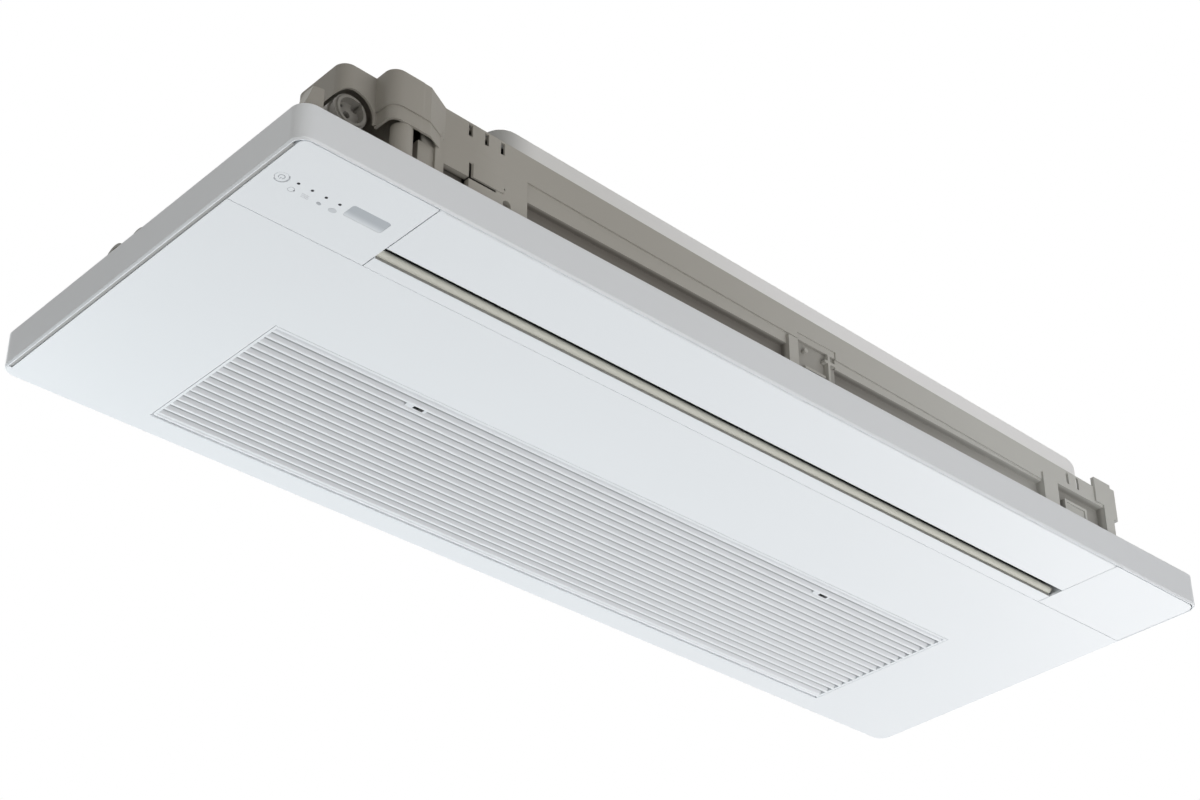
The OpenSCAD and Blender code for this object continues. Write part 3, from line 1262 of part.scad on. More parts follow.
module scroll_casing() color([0.80, 0.81, 0.80])
    difference() {
        union() {
            yz_prism(scroll_pts, bay_x, cheek_x1);
            yz_prism(cheek_pts, bay_x, bay_x+base_t);
            yz_prism(cheek_pts, cheek_x1-base_t, cheek_x1);
        }
        rod_x(bay_x-1, bay_x+base_t+1, fan_y, fan_z, shaft_d+4);
        rod_x(cheek_x1-base_t-1, cheek_x1+1, fan_y, fan_z, 2*bush_r+0.1);
    }

module stabilizer() color([0.80, 0.81, 0.80])
    difference() {
        yz_prism([[duct_y1, floor_z], [duct_y1+2, floor_z+2.5], [fan_y, fan_z-fan_r-6.5],
            [fan_y+26, fan_z-fan_r+2], [fan_y+32, fan_z-fan_r+4], [pan_y0-2, floor_z]],
            bay_x+base_t, cheek_x1-base_t);
        // hollow from below
        for (i = [0 : 7]) let (w = (cheek_x1-bay_x-2*base_t-6)/8)
            yz_prism([[duct_y1+14, floor_z-1], [fan_y, fan_z-fan_r-10], [fan_y+24, fan_z-fan_r-3],
                [pan_y0-5, floor_z-1]], bay_x+base_t+3+i*w, bay_x+base_t+i*w+w);
    }

// Deflector blades under a rail, joined by a link
defl_n = 2*deflector_half;
defl_y = body_y0+45;
defl_z0 = floor_z+1;
defl_z1 = defl_z0+deflector_h;
rail_z = defl_z1+5.5;
pin_r = 2;
crank_r = 1.3;
link_z = defl_z1+2.7;
link_t = rail_z-link_z-touch;
far_l = 17;
function defl_x(i) = (bay_x+cheek_x1)/2+(i-(defl_n+1)/2)*deflector_pitch;
module deflector_rail() color(white)
    difference() {
        union() {
            box(bay_x+base_t, cheek_x1-base_t, defl_y-4, defl_y+4, rail_z, rail_z+3);
            for (x = [bay_x+base_t, cheek_x1-base_t-3]) box(x, x+3, defl_y-4, defl_y+10, rail_z-3, rail_z+3);
        }
        for (i = [1 : defl_n]) translate([defl_x(i), defl_y, rail_z-1]) cylinder(h=5, r=pin_r+0.05);
    }
module deflector(i) color(dark)
    translate([defl_x(i), defl_y, 0]) {
        yz_prism([[far_l-deflector_l, defl_z0], [far_l, defl_z0], [far_l, defl_z1],
            [far_l-deflector_l+14, defl_z1]], -0.8, 0.8);
        translate([0, 0, defl_z0+2]) cylinder(h=rail_z+3.5-defl_z0-2, r=pin_r);
        translate([0, 0, defl_z1-3]) cylinder(h=rail_z-touch-defl_z1+3, r=pin_r+1.8);
        translate([0, crank, defl_z1-2]) cylinder(h=link_z-touch-defl_z1+2, r=crank_r+1.2);
        translate([0, crank, defl_z1-2]) cylinder(h=link_z+link_t+0.8-defl_z1+2, r=crank_r);
    }
module deflector_link() color(white)
    difference() {
        box(defl_x(1)-8, defl_x(defl_n)+8, defl_y+crank-5.5, defl_y+crank+4, link_z, link_z+link_t);
        for (i = [1 : defl_n]) translate([defl_x(i), defl_y+crank-1, link_z-1])
            linear_extrude(link_t+2) rr2(4*crank_r/1.3, 6, 1.9*crank_r/1.3);
    }

// Control box in the bay
box_x0 = body_x0+4;
box_x1 = bay_x-6;
box_y0 = pan_y0+12;
box_y1 = liquid_y-26;
box_z1 = rim_z(bay_x)-7;
box_t = 1.2;
module control_box() color(steel)
    difference() {
        box(box_x0, box_x1, box_y0, box_y1, floor_z, box_z1);
        box(box_x0+box_t, box_x1-box_t, box_y0+box_t, box_y1-box_t, floor_z+box_t, box_z1+1);
        rod_y(box_x0+34, box_y1-box_t-1, box_y1+1, floor_z+14, 14);
    }
module control_cover() color(steel)
    difference() {
        box(box_x0-box_t-touch/2, box_x1+box_t+touch/2, box_y0-box_t-touch/2, box_y1+box_t+touch/2,
            box_z1-8, box_z1+box_t);
        box(box_x0-touch/2, box_x1+touch/2, box_y0-touch/2, box_y1+touch/2, box_z1-9, box_z1);
    }
module main_board() color([0.14, 0.42, 0.28]) {
    x = box_x0+6;
    box(x, x+1.6, box_y0+4, box_y1-4, floor_z+26, box_z1-6);
    for (y = [box_y0+9, box_y1-9], z = [floor_z+31, box_z1-11]) rod_x(box_x0+box_t, x+eps, y, z, 5);
    box(x+1.6-eps, x+26, box_y0+10, box_y0+34, floor_z+34, floor_z+56);
    for (i = [0 : 2]) rod_x(x+1.6-eps, x+20, box_y0+14+i*16, box_z1-20, 11);
    for (i = [0 : 1]) box(x+1.6-eps, x+14, box_y1-24+i*9, box_y1-17+i*9, floor_z+30, floor_z+50);
    for (i = [0 : 3]) box(x+1.6-eps, x+10, box_y0+8+i*12, box_y0+16+i*12, box_z1-44, box_z1-34);
}
module terminal_block() color([0.90, 0.90, 0.86])
    difference() {
        box(box_x0+20, box_x0+50, box_y0+6, box_y1-10, floor_z+box_t, floor_z+18);
        for (i = [0 : 3]) translate([box_x0+28, box_y0+13+i*10, floor_z+8]) cylinder(h=12, d=6);
        for (i = [0 : 3]) translate([box_x0+42, box_y0+13+i*10, floor_z+8]) cylinder(h=12, d=6);
    }
module cable_clamp() color(white)
    difference() {
        union() {
            box(box_x0+22, box_x0+46, box_y1+2, box_y1+12, floor_z, floor_z+9);
            rod_y(box_x0+34, box_y1+2, box_y1+12, floor_z+14, 18);
        }
        rod_y(box_x0+34, box_y1+1, box_y1+13, floor_z+14, 13);
        for (s = [-1, 1]) translate([box_x0+34+9.5*s, box_y1+7, floor_z-1]) cylinder(h=8, d=3);
    }

module room_sensor() color(dark) {
    box(-204, -192, pan_y1-pan_t, pan_y1, pan_z1, pan_z1+5);
    rod_x(-214, -182, pan_y1-pan_t/2, pan_z1+4, 4);
}

hanger_w = 40;
hanger_leg = 26;
hanger_out = 56;
module hanger_brackets() color(steel)
    for (s = [-1, 1], y = [-hanger_y/2, hanger_y/2]) difference() {
        union() {
            xh = s > 0 ? body_x1 : body_x0;
            box(min(xh, xh+s*hanger_out), max(xh, xh+s*hanger_out), y-hanger_w/2, y+hanger_w/2,
                hanger_z, hanger_z+hanger_t);
            box(min(xh, xh+s*hanger_t), max(xh, xh+s*hanger_t), y-hanger_w/2, y+hanger_w/2,
                hanger_z-hanger_leg, hanger_z+hanger_t);
        }
        translate([body_shift+s*hanger_x, y, hanger_z-1]) linear_extrude(hanger_t+2) slot2(slot_l, slot_d);
        rod_x(-panel_l, panel_l, y, hanger_z-14, screw_d+0.1);
    }
hanger_x = body_l/2+30;

panel_frame();
display_cover();
end_cover();
receiver_window();
power_button();
indicator_lenses();
display_board();
vane();
vane_motor();
vane_pivots();
duct_lip();
intake_grille();
grille_catch_left();
grille_catch_right();
grille_hinge_pins();
air_filters();
panel_gasket();
panel_screws();
base_frame();
top_casing();
roof_liner();
bay_cover();
drain_pan();
drain_plug();
drain_pump();
drain_port();
float_switch();
float_ball();  // float
coil_fins();
coil_tubes();
coil_end_plates();
gas_pipe();
liquid_pipe();
pipe_sleeves();
crossflow_fan();
fan_shaft();
fan_motor();
motor_clamp();
fan_bearing();
bearing_bracket();
scroll_casing();
stabilizer();
deflector_rail();
deflector(1);  // deflector_1
deflector(2);  // deflector_2
deflector(3);  // deflector_3
deflector(4);  // deflector_4
deflector(5);  // deflector_5
deflector(6);  // deflector_6
deflector(7);  // deflector_7
deflector(8);  // deflector_8
deflector_link();
control_box();
control_cover();
main_board();
terminal_block();
cable_clamp();
room_sensor();
hanger_brackets();
case_screws();
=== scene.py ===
"""Looks for a slim one-way ceiling cassette air conditioner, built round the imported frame."""
import math

import bmesh
import bpy
from mathutils import Matrix, Vector


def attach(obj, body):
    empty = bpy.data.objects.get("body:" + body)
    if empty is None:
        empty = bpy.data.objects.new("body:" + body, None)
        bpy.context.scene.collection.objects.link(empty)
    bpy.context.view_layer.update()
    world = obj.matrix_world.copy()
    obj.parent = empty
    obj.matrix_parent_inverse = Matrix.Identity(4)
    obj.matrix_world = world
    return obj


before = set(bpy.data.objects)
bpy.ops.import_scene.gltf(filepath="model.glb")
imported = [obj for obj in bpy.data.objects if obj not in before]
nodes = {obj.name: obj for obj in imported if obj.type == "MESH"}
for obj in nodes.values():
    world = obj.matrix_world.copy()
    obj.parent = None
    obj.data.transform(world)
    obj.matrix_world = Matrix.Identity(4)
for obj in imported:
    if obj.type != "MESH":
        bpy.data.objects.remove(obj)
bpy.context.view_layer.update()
MM = 0.001
scene = bpy.context.scene
scene.view_settings.view_transform = "Standard"


# Camera fitted to the panel's corners and edges in the photograph
PHOTO_WIDTH, FOCAL_PIXELS, SENSOR = 1200.0, 2380.87, 36.0
CAMERA_PLACE = Vector((-1.42647, -1.48055, -1.20495))
CAMERA_RIGHT = Vector((0.73809206, -0.67469118, -0.00345397))
CAMERA_UP = Vector((-0.36305588, -0.40147684, 0.84083695))
CAMERA_LOOK = Vector((0.56869196, 0.61936109, 0.54127747))


def make_camera():
    data = bpy.data.cameras.new("camera")
    data.sensor_fit = "HORIZONTAL"
    data.sensor_width = SENSOR
    data.lens = SENSOR * FOCAL_PIXELS / PHOTO_WIDTH
    data.clip_start, data.clip_end = 0.05, 60.0
    cam = bpy.data.objects.new("camera", data)
    turn = Matrix((CAMERA_RIGHT, CAMERA_UP, -CAMERA_LOOK)).transposed().to_4x4()
    cam.matrix_world = Matrix.Translation(CAMERA_PLACE) @ turn
    scene.collection.objects.link(cam)
    scene.camera = cam


make_camera()


# Helpers for node trees
def add(tree, kind, where=(0, 0), **props):
    """A new node, with its properties set."""
    n = tree.nodes.new(kind)
    n.location = where
    for k, v in props.items():
        setattr(n, k, v)
    return n


def wire(tree, a, b):
    tree.links.new(a, b)


def put(tree, value, socket):
    """Sets a number or a colour, or wires an output."""
    if isinstance(value, (int, float)):
        socket.default_value = value
    elif isinstance(value, tuple):
        socket.default_value = (*value, 1)
    else:
        wire(tree, value, socket)


def math_node(tree, op, a, b=None, clamp=False):
    n = add(tree, "ShaderNodeMath", operation=op)
    n.use_clamp = clamp
    for i, v in enumerate((a, b)):
        if v is not None:
            put(tree, v, n.inputs[i])
    return n.outputs[0]


def ramp(tree, value, low, high):
    """0 at low and 1 at high, smooth in between; low may be the greater of the two."""
    n = add(tree, "ShaderNodeMapRange", interpolation_type="SMOOTHSTEP")
    put(tree, value, n.inputs["Value"])
    n.inputs["From Min"].default_value = low
    n.inputs["From Max"].default_value = high
    return n.outputs["Result"]


def blend_colours(tree, factor, a, b, kind="MIX"):
    n = add(tree, "ShaderNodeMix", data_type="RGBA", blend_type=kind)
    put(tree, factor, n.inputs[0])
    put(tree, a, n.inputs[6])
    put(tree, b, n.inputs[7])
    return n.outputs[2]


def new_group(name, inputs, outputs):
    g = bpy.data.node_groups.new(name, "ShaderNodeTree")
    for label, kind, value in inputs:
        s = g.interface.new_socket(name=label, in_out="INPUT", socket_type=kind)
        if value is not None:
            s.default_value = value
    for label, kind in outputs:
        g.interface.new_socket(name=label, in_out="OUTPUT", socket_type=kind)
    return g, add(g, "NodeGroupInput", (-900, 0)), add(g, "NodeGroupOutput", (700, 0))


F, C, V = "NodeSocketFloat", "NodeSocketColor", "NodeSocketVector"
# colour of the painted highlight along edges
EDGE_HIGHLIGHT = (0.9, 0.9, 0.9)
DRIFT_SCALE, GRAIN_RELIEF, ROUGH_SWING, LINE_EDGE = 7.0, 0.0004, 0.12, 12.0


def make_surface_group():
    """Shade drift, fine grain, soft edges and a painted highlight along the edges: what every moulded or
    painted surface shares.
    """
    g, gin, gout = new_group(
        "surface",
        [("Colour", C, (0.8, 0.8, 0.8, 1)), ("Second", C, (0.7, 0.7, 0.7, 1)), ("Drift", F, 0.3),
         ("Grain", F, 900.0), ("Depth", F, 0.02), ("Rough", F, 0.4), ("Edge", F, 0.0004),
         ("EdgeHighlight", F, 0.05)],
        [("Colour", C), ("Rough", F), ("Normal", V)])
    co = add(g, "ShaderNodeTexCoord").outputs["Object"]
    drift = add(g, "ShaderNodeTexNoise")
    drift.inputs["Scale"].default_value = DRIFT_SCALE
    drift.inputs["Detail"].default_value = 4.0
    wire(g, co, drift.inputs["Vector"])
    grain = add(g, "ShaderNodeTexNoise")
    grain.inputs["Detail"].default_value = 2.0
    wire(g, co, grain.inputs["Vector"])
    wire(g, gin.outputs["Grain"], grain.inputs["Scale"])
    slow = math_node(g, "MULTIPLY", drift.outputs["Fac"], gin.outputs["Drift"], True)
    shade = blend_colours(g, slow, gin.outputs["Colour"], gin.outputs["Second"])
    # edges look rounded in the light, and a painted highlight makes them a touch paler
    bev = add(g, "ShaderNodeBevel", samples=4)
    wire(g, gin.outputs["Edge"], bev.inputs["Radius"])
    geo = add(g, "ShaderNodeNewGeometry")
    dot = add(g, "ShaderNodeVectorMath", operation="DOT_PRODUCT")
    wire(g, bev.outputs[0], dot.inputs[0])
    wire(g, geo.outputs["Normal"], dot.inputs[1])
    edge = math_node(g, "SUBTRACT", 1.0, dot.outputs["Value"], True)
    edge_lit = math_node(g, "MULTIPLY", edge, gin.outputs["EdgeHighlight"], True)
    wire(g, blend_colours(g, edge_lit, shade, EDGE_HIGHLIGHT), gout.inputs["Colour"])
    # roughness follows the grain a little
    r = math_node(g, "MULTIPLY_ADD", grain.outputs["Fac"], ROUGH_SWING)
    r.node.inputs[2].default_value = -ROUGH_SWING / 2
    wire(g, math_node(g, "ADD", gin.outputs["Rough"], r, True), gout.inputs["Rough"])
    bump = add(g, "ShaderNodeBump")
    bump.inputs["Distance"].default_value = GRAIN_RELIEF
    wire(g, gin.outputs["Depth"], bump.inputs["Strength"])
    wire(g, grain.outputs["Fac"], bump.inputs["Height"])
    wire(g, bev.outputs[0], bump.inputs["Normal"])
    wire(g, bump.outputs[0], gout.inputs["Normal"])
    return g


def make_lines_group():
    """Fine parallel lines across a direction: fins, and threads of a net."""
    g, gin, gout = new_group(
        "lines", [("Across", V, (1, 0, 0)), ("Pitch", F, 0.002), ("Share", F, 0.5)], [("Mask", F)])
    co = add(g, "ShaderNodeTexCoord").outputs["Object"]
    dot = add(g, "ShaderNodeVectorMath", operation="DOT_PRODUCT")
    wire(g, co, dot.inputs[0])
    wire(g, gin.outputs["Across"], dot.inputs[1])
    turns = math_node(g, "DIVIDE", dot.outputs["Value"], gin.outputs["Pitch"])
    wave = math_node(g, "PINGPONG", turns, 0.5)
    near = math_node(g, "MULTIPLY", gin.outputs["Share"], 0.5)
    over = math_node(g, "SUBTRACT", near, wave)
    wire(g, math_node(g, "MULTIPLY", over, LINE_EDGE, True), gout.inputs["Mask"])
    return g


def make_cells_group():
    """Cells of random shade with a height: zinc's crystals, or the pores of foam."""
    g, gin, gout = new_group("cells", [("Size", F, 120.0)], [("Shade", F), ("Height", F)])
    co = add(g, "ShaderNodeTexCoord").outputs["Object"]
    vor = add(g, "ShaderNodeTexVoronoi")
    wire(g, co, vor.inputs["Vector"])
    wire(g, gin.outputs["Size"], vor.inputs["Scale"])
    split = add(g, "ShaderNodeSeparateColor")
    wire(g, vor.outputs["Color"], split.inputs[0])
    wire(g, split.outputs[0], gout.inputs["Shade"])
    wire(g, vor.outputs["Distance"], gout.inputs["Height"])
    return g


SURFACE = make_surface_group()
LINES = make_lines_group()
CELLS = make_cells_group()


class Finish:
    """A material on the surface group, with its node tree at hand for what it has of its own."""

    def __init__(self, name, colour, second=None, rough=0.4, metal=0.0, drift=0.4, grain=900.0,
                 depth=0.05, edge=0.0004, wear=0.05, coat=0.0, spec=0.5):
        self.material = bpy.data.materials.new(name)
        self.material.use_nodes = True
        self.tree = t = self.material.node_tree
        self.bsdf = bsdf = t.nodes["Principled BSDF"]
        for label, value in (("Metallic", metal), ("Coat Weight", coat), ("Coat Roughness", 0.15),
                             ("Specular IOR Level", spec)):
            bsdf.inputs[label].default_value = value
        self.surface = s = add(t, "ShaderNodeGroup", (-300, 0), node_tree=SURFACE)
        s.inputs["Colour"].default_value = (*colour, 1)
        s.inputs["Second"].default_value = (*(second or tuple(c * 0.9 for c in colour)), 1)
        for label, value in (("Drift", drift), ("Grain", grain), ("Depth", depth), ("Rough", rough),
                             ("Edge", edge), ("EdgeHighlight", wear)):
            s.inputs[label].default_value = value
        wire(t, s.outputs["Colour"], bsdf.inputs["Base Color"])
        wire(t, s.outputs["Rough"], bsdf.inputs["Roughness"])
        wire(t, s.outputs["Normal"], bsdf.inputs["Normal"])

    def place(self):
        """X, Y and Z on the piece, in metres."""
        co = add(self.tree, "ShaderNodeSeparateXYZ")
        wire(self.tree, add(self.tree, "ShaderNodeTexCoord").outputs["Object"], co.inputs[0])
        return co.outputs

    def colour(self, value, label="Colour"):
        """Wires a colour into the surface group."""
        wire(self.tree, value, self.surface.inputs[label])

    def along(self, axis, low, high, first, second, label="Colour"):
        """Colour that changes along X, Y or Z between two places."""
        t = self.tree
        self.colour(blend_colours(t, ramp(t, self.place()[axis], low, high), first, second), label)

    def shade(self, axis, low, high, tint, within=None):
        """Multiplies the colour by tint past high; each row of within holds it to a stretch."""
        t = self.tree
        co = self.place()
        amount = ramp(t, co[axis], low, high)
        for other, start, stop in within or ():
            amount = math_node(t, "MULTIPLY", amount, ramp(t, co[other], start, stop))
        for label in ("Colour", "Second"):
            socket = self.surface.inputs[label]
            old = socket.links[0].from_socket if socket.links else tuple(socket.default_value)[:3]
            self.colour(blend_colours(t, amount, old, tint, "MULTIPLY"), label)

    def lines(self, across, pitch, share):
        """Mask of parallel lines."""
        n = add(self.tree, "ShaderNodeGroup", node_tree=LINES)
        n.inputs["Across"].default_value = across
        n.inputs["Pitch"].default_value = pitch
        n.inputs["Share"].default_value = share
        return n.outputs["Mask"]

    def cells(self, size):
        """Node with the cells' shade and height."""
        n = add(self.tree, "ShaderNodeGroup", node_tree=CELLS)
        n.inputs["Size"].default_value = size
        return n

    def bump(self, height, distance, strength=0.5):
        """Relief of its own over the surface group's grain."""
        n = add(self.tree, "ShaderNodeBump")
        n.inputs["Distance"].default_value = distance
        n.inputs["Strength"].default_value = strength
        wire(self.tree, height, n.inputs["Height"])
        wire(self.tree, self.surface.outputs["Normal"], n.inputs["Normal"])
        wire(self.tree, n.outputs[0], self.bsdf.inputs["Normal"])


FINISHES = {}


def finish(name, *args, **more):
    """Makes a finish and keeps it under its slot's name."""
    FINISHES[name] = f = Finish(name, *args, **more)
    return f


X, Y, Z = 0, 1, 2
PANEL = (0.80, 0.825, 0.855)
finish("panel_white", PANEL, rough=0.42, drift=0.15, grain=420, depth=0.03, spec=0.25, edge=0.0005)

# Base frame: painted light, paler towards the right end, and painted shade in its recesses
LOW_WALL = (-0.2035, -0.1985)       # from the band's face to the wall that lies deeper below it
WALL_ONLY = (Y, -0.186, -0.192)     # leaves the frame's floor out
f = finish("frame_grey", (0.42, 0.40, 0.365), rough=0.55, drift=0.3, grain=1500, depth=0.16, wear=0.12,
           spec=0.3)
# painted light and shade: darker at the left end, paler at the right
f.along(X, -0.30, 0.45, (0.415, 0.398, 0.360), (0.60, 0.60, 0.572))
f.along(X, -0.30, 0.45, (0.385, 0.368, 0.335), (0.56, 0.56, 0.535), "Second")
# painted shade on the low wall, most of all towards the left end
f.shade(Y, *LOW_WALL, (0.42, 0.405, 0.395), within=[WALL_ONLY, (X, -0.47, -0.44), (X, 0.75, -0.10)])
# painted shade in the recess of the right bracket
f.shade(Y, *LOW_WALL, (0.74, 0.73, 0.72), within=[WALL_ONLY, (X, 0.400, 0.403), (X, 0.486, 0.483)])
# painted shade on the left clip and all beyond it
f.shade(X, -0.37, -0.41, (0.88, 0.87, 0.86))
# painted shadow in the gaps round the left clip's cover
f.shade(Y, -0.2053, -0.2046, (0.16, 0.155, 0.15),
        within=[(X, -0.4097, -0.4089), (X, -0.3775, -0.3783), (Z, 0.0708, 0.0714), (Z, 0.0900, 0.0893)])
# painted shade on the half-round towers at the pipe end
f.shade(X, -0.47, -0.51, (0.88, 0.88, 0.88))

f = finish("casing_white", (0.80, 0.80, 0.80), rough=0.42, drift=0.2, grain=700, depth=0.10, edge=0.0006,
           spec=0.3)
# painted light: paler towards the right end
f.along(X, -0.35, 0.10, (0.79, 0.79, 0.78), (0.94, 0.94, 0.945))
# painted shade on the casing's rounded left end
f.shade(X, -0.325, -0.375, (0.50, 0.50, 0.49))
finish("plug_grey", (0.23, 0.22, 0.20), rough=0.6, grain=1300, depth=0.2, wear=0.15)

# Outlet duct: painted shade, darker step by step with depth
f = finish("duct_beige", (0.68, 0.68, 0.61), rough=0.5, depth=0.12, grain=1300, spec=0.3)
f.shade(Z, 0.0068, 0.0080, (0.46, 0.47, 0.48))
f.shade(Z, 0.0092, 0.0104, (0.25, 0.25, 0.25))

# Grille: the panel's white, with painted shade between the slats and the darkest painted shade on the
# walls of the catch slots
CATCH_SLOTS, SLOT_HALF = (-0.27525, 0.28075), 0.006
f = finish("grille_white", PANEL, rough=0.42, drift=0.15, grain=420, depth=0.03, spec=0.25, edge=0.0004)
f.shade(Z, 0.0002, 0.0007, (0.93, 0.93, 0.935))
f.shade(Z, 0.0020, 0.0031, (0.55, 0.55, 0.56))
for x in CATCH_SLOTS:
    f.shade(Z, 0.0002, 0.0004, (0.10, 0.10, 0.10), within=[
        (Y, 0.0241, 0.0243), (Y, 0.0283, 0.0281),
        (X, x - SLOT_HALF - 0.0001, x - SLOT_HALF + 0.0001),
        (X, x + SLOT_HALF + 0.0001, x + SLOT_HALF - 0.0001)])

finish("inner_white", (0.70, 0.71, 0.70), rough=0.5, depth=0.12, grain=1300)
f = finish("window_smoke", (0.50, 0.53, 0.565), rough=0.25, depth=0.02, drift=0.1, spec=0.3)
f.along(Y, -0.1775, -0.1675, (0.47, 0.50, 0.535), (0.72, 0.745, 0.78))
finish("lens_dark", (0.03, 0.03, 0.035), rough=0.3, depth=0.02)
finish("dark_plastic", (0.035, 0.035, 0.038), rough=0.5, depth=0.10, wear=0.04)

# Filter net: two sets of threads over dark gaps
NET_PITCH, NET_SHARE = 0.0024, 0.4
f = finish("filter_net", (0.05, 0.055, 0.06), rough=0.7, depth=0.1)
threads = math_node(f.tree, "MAXIMUM", f.lines((1, 0, 0), NET_PITCH, NET_SHARE),
                    f.lines((0, 1, 0), NET_PITCH, NET_SHARE))
f.colour(blend_colours(f.tree, threads, (0.018, 0.02, 0.022), (0.11, 0.12, 0.13)))
f.bump(threads, 0.0006)

# Foams, with pores
f = finish("foam_dark", (0.035, 0.036, 0.038), (0.06, 0.06, 0.062), rough=0.95, drift=0.8, grain=650,
           depth=0.5, wear=0.0)
f.bump(f.cells(420.0).outputs["Height"], 0.0008, 0.6)
f = finish("foam_light", (0.50, 0.50, 0.48), (0.43, 0.43, 0.41), rough=0.9, drift=0.6, grain=650,
           depth=0.4, wear=0.0)
f.bump(f.cells(500.0).outputs["Height"], 0.0006, 0.4)

# Metals
f = finish("zinc_steel", (0.46, 0.475, 0.49), (0.38, 0.395, 0.41), rough=0.38, metal=1.0, drift=0.6,
           grain=260, depth=0.05, wear=0.1)
f.colour(blend_colours(f.tree, f.cells(95.0).outputs["Shade"], (0.40, 0.415, 0.43), (0.52, 0.53, 0.545)))
f = finish("fin_aluminium", (0.70, 0.71, 0.73), rough=0.38, metal=0.9, drift=0.3, depth=0.04)
fins = f.lines((1, 0, 0), 0.0016, 0.55)
f.colour(blend_colours(f.tree, fins, (0.10, 0.11, 0.12), (0.74, 0.75, 0.77)))
f.bump(fins, 0.0008, 0.8)
finish("copper_tube", (0.78, 0.42, 0.28), (0.55, 0.27, 0.17), rough=0.3, metal=1.0, drift=0.7, grain=180,
       depth=0.05, wear=0.1)
finish("brass", (0.75, 0.58, 0.30), (0.62, 0.46, 0.22), rough=0.3, metal=1.0, drift=0.6, wear=0.1)

# Circuit boards: green, with paler tracks
BOARD, TRACK = (0.02, 0.13, 0.06), (0.05, 0.24, 0.12)
f = finish("board_green", BOARD, (0.015, 0.09, 0.04), rough=0.35, coat=0.3, grain=500, depth=0.1)
tracks = math_node(f.tree, "MULTIPLY", f.lines((0.7, 0.7, 0), 0.003, 0.35),
                   f.lines((0, 0.2, 1), 0.011, 0.7))
f.colour(blend_colours(f.tree, tracks, BOARD, TRACK))

finish("float_orange", (0.78, 0.25, 0.05), rough=0.5)
finish("bush_rubber", (0.02, 0.02, 0.021), rough=0.8, depth=0.2, wear=0.02)
# prints; the first grey also gives the painted shade round the button
for name, colour in (("print_and_shade_grey", (0.42, 0.44, 0.47)), ("print_faint", (0.60, 0.625, 0.655)),
                     ("print_pale", (0.68, 0.70, 0.73))):
    finish(name, colour, rough=0.5, depth=0.02, wear=0.0)
# grey of the strip of painted light in the left shadow gap
finish("gap_light_pale", (0.40, 0.40, 0.395), rough=0.6, grain=1300, depth=0.1)
# grey of the strip of painted shade along the outlet slot
finish("shade_strip_grey", (0.30, 0.30, 0.28), rough=0.6, grain=1300, depth=0.1)
finish("tie_black", (0.03, 0.03, 0.032), rough=0.45, depth=0.05)

# Nodes whose finish differs from the one of their slot
OWN_FINISH = {"indicator_lenses": "lens_dark", "drain_plug": "plug_grey", "intake_grille": "grille_white"}
for o in nodes.values():
    for s in o.material_slots:
        base = OWN_FINISH.get(o.name, s.material.name.split(".")[0] if s.material else "")
        if base in FINISHES:
            s.material = FINISHES[base].material
        else:
            print("no material for", o.name, base)


# Pieces that the frame leaves to the scene
SHARP_ANGLE = 35


def piece(name, bm, finish_name, body="unit", smooth=True):
    """Makes an object of a bmesh in millimetres and lets it ride on a body."""
    bmesh.ops.recalc_face_normals(bm, faces=bm.faces)
    bmesh.ops.scale(bm, vec=(MM, MM, MM), verts=bm.verts)
    me = bpy.data.meshes.new(name)
    bm.to_mesh(me)
    bm.free()
    if smooth:
        me.set_sharp_from_angle(angle=math.radians(SHARP_ANGLE))
    me.materials.append(FINISHES[finish_name].material)
    o = bpy.data.objects.new(name, me)
    scene.collection.objects.link(o)
    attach(o, body)


TURN_X = Matrix.Rotation(math.radians(90), 4, "Y")   # local Z along X


def ring(bm, place, r0, r1, h, start=0.0, end=360.0, steps=48):
    """A flat ring or arc from radius r0 to r1, its height along the local Z of place."""
    turn = Matrix.Rotation(math.radians(start), 4, "Z")
    corners = [(r0, 0, 0), (r1, 0, 0), (r1, 0, h), (r0, 0, h)]
    face = bm.faces.new([bm.verts.new(place @ turn @ Vector(p)) for p in corners])
    full = end - start >= 360.0
    bmesh.ops.spin(bm, geom=[face, *face.edges, *face.verts], cent=place.translation,
                   axis=place.to_3x3() @ Vector((0, 0, 1)), angle=math.radians(end - start),
                   steps=steps, use_merge=full)
    if full:
        bmesh.ops.delete(bm, geom=[face], context="FACES_ONLY")


def disc(bm, place, r, h, flat=1.0, segments=32):
    """A disc or oval on the local XY plane of place."""
    form = place @ Matrix.Translation((0, 0, h / 2)) @ Matrix.Diagonal((1, flat, 1, 1))
    bmesh.ops.create_cone(bm, cap_ends=True, segments=segments, radius1=r, radius2=r, depth=h, matrix=form)


def bar(bm, place, length, width, h, edge=0.0):
    """A block that stands on the local XY plane of place, its edges rounded by edge."""
    form = place @ Matrix.Translation((0, 0, h / 2)) @ Matrix.Diagonal((length, width, h, 1))
    made = bmesh.ops.create_cube(bm, size=1.0, matrix=form)
    if edge:
        edges = {e for v in made["verts"] for e in v.link_edges}
        bmesh.ops.bevel(bm, geom=list(edges), offset=edge, offset_type="OFFSET", segments=2, profile=0.5,
                        affect="EDGES", material=-1)


def at(x, y, z, spin=0.0):
    """A place in millimetres, turned about Z in degrees."""
    return Matrix.Translation((x, y, z)) @ Matrix.Rotation(math.radians(spin), 4, "Z")


# Places on the display cover, in millimetres
BUTTON_X, BUTTON_Y = -579.8, -175.8
LAMP_X, LAMP_PITCH, LAMPS, SIGN_Y = -564.3, 14.1, 4, -167.3
BUTTON_FACE, COVER_FACE = 0.2, 0.1
PRINT_H, PRINT_SINK = 0.05, 0.02    # how far a print stands out of its face, and how deep it goes in


def power_sign():
    """An open ring with a stroke, printed on the button."""
    bm = bmesh.new()
    z, h = BUTTON_FACE - PRINT_H, PRINT_H + PRINT_SINK
    ring(bm, at(BUTTON_X, BUTTON_Y, z), 2.3, 3.1, h, start=-235.0, end=55.0)
    bar(bm, at(BUTTON_X, BUTTON_Y + 2.0, z), 0.8, 2.6, h)
    piece("power_sign", bm, "print_and_shade_grey", "button", smooth=False)


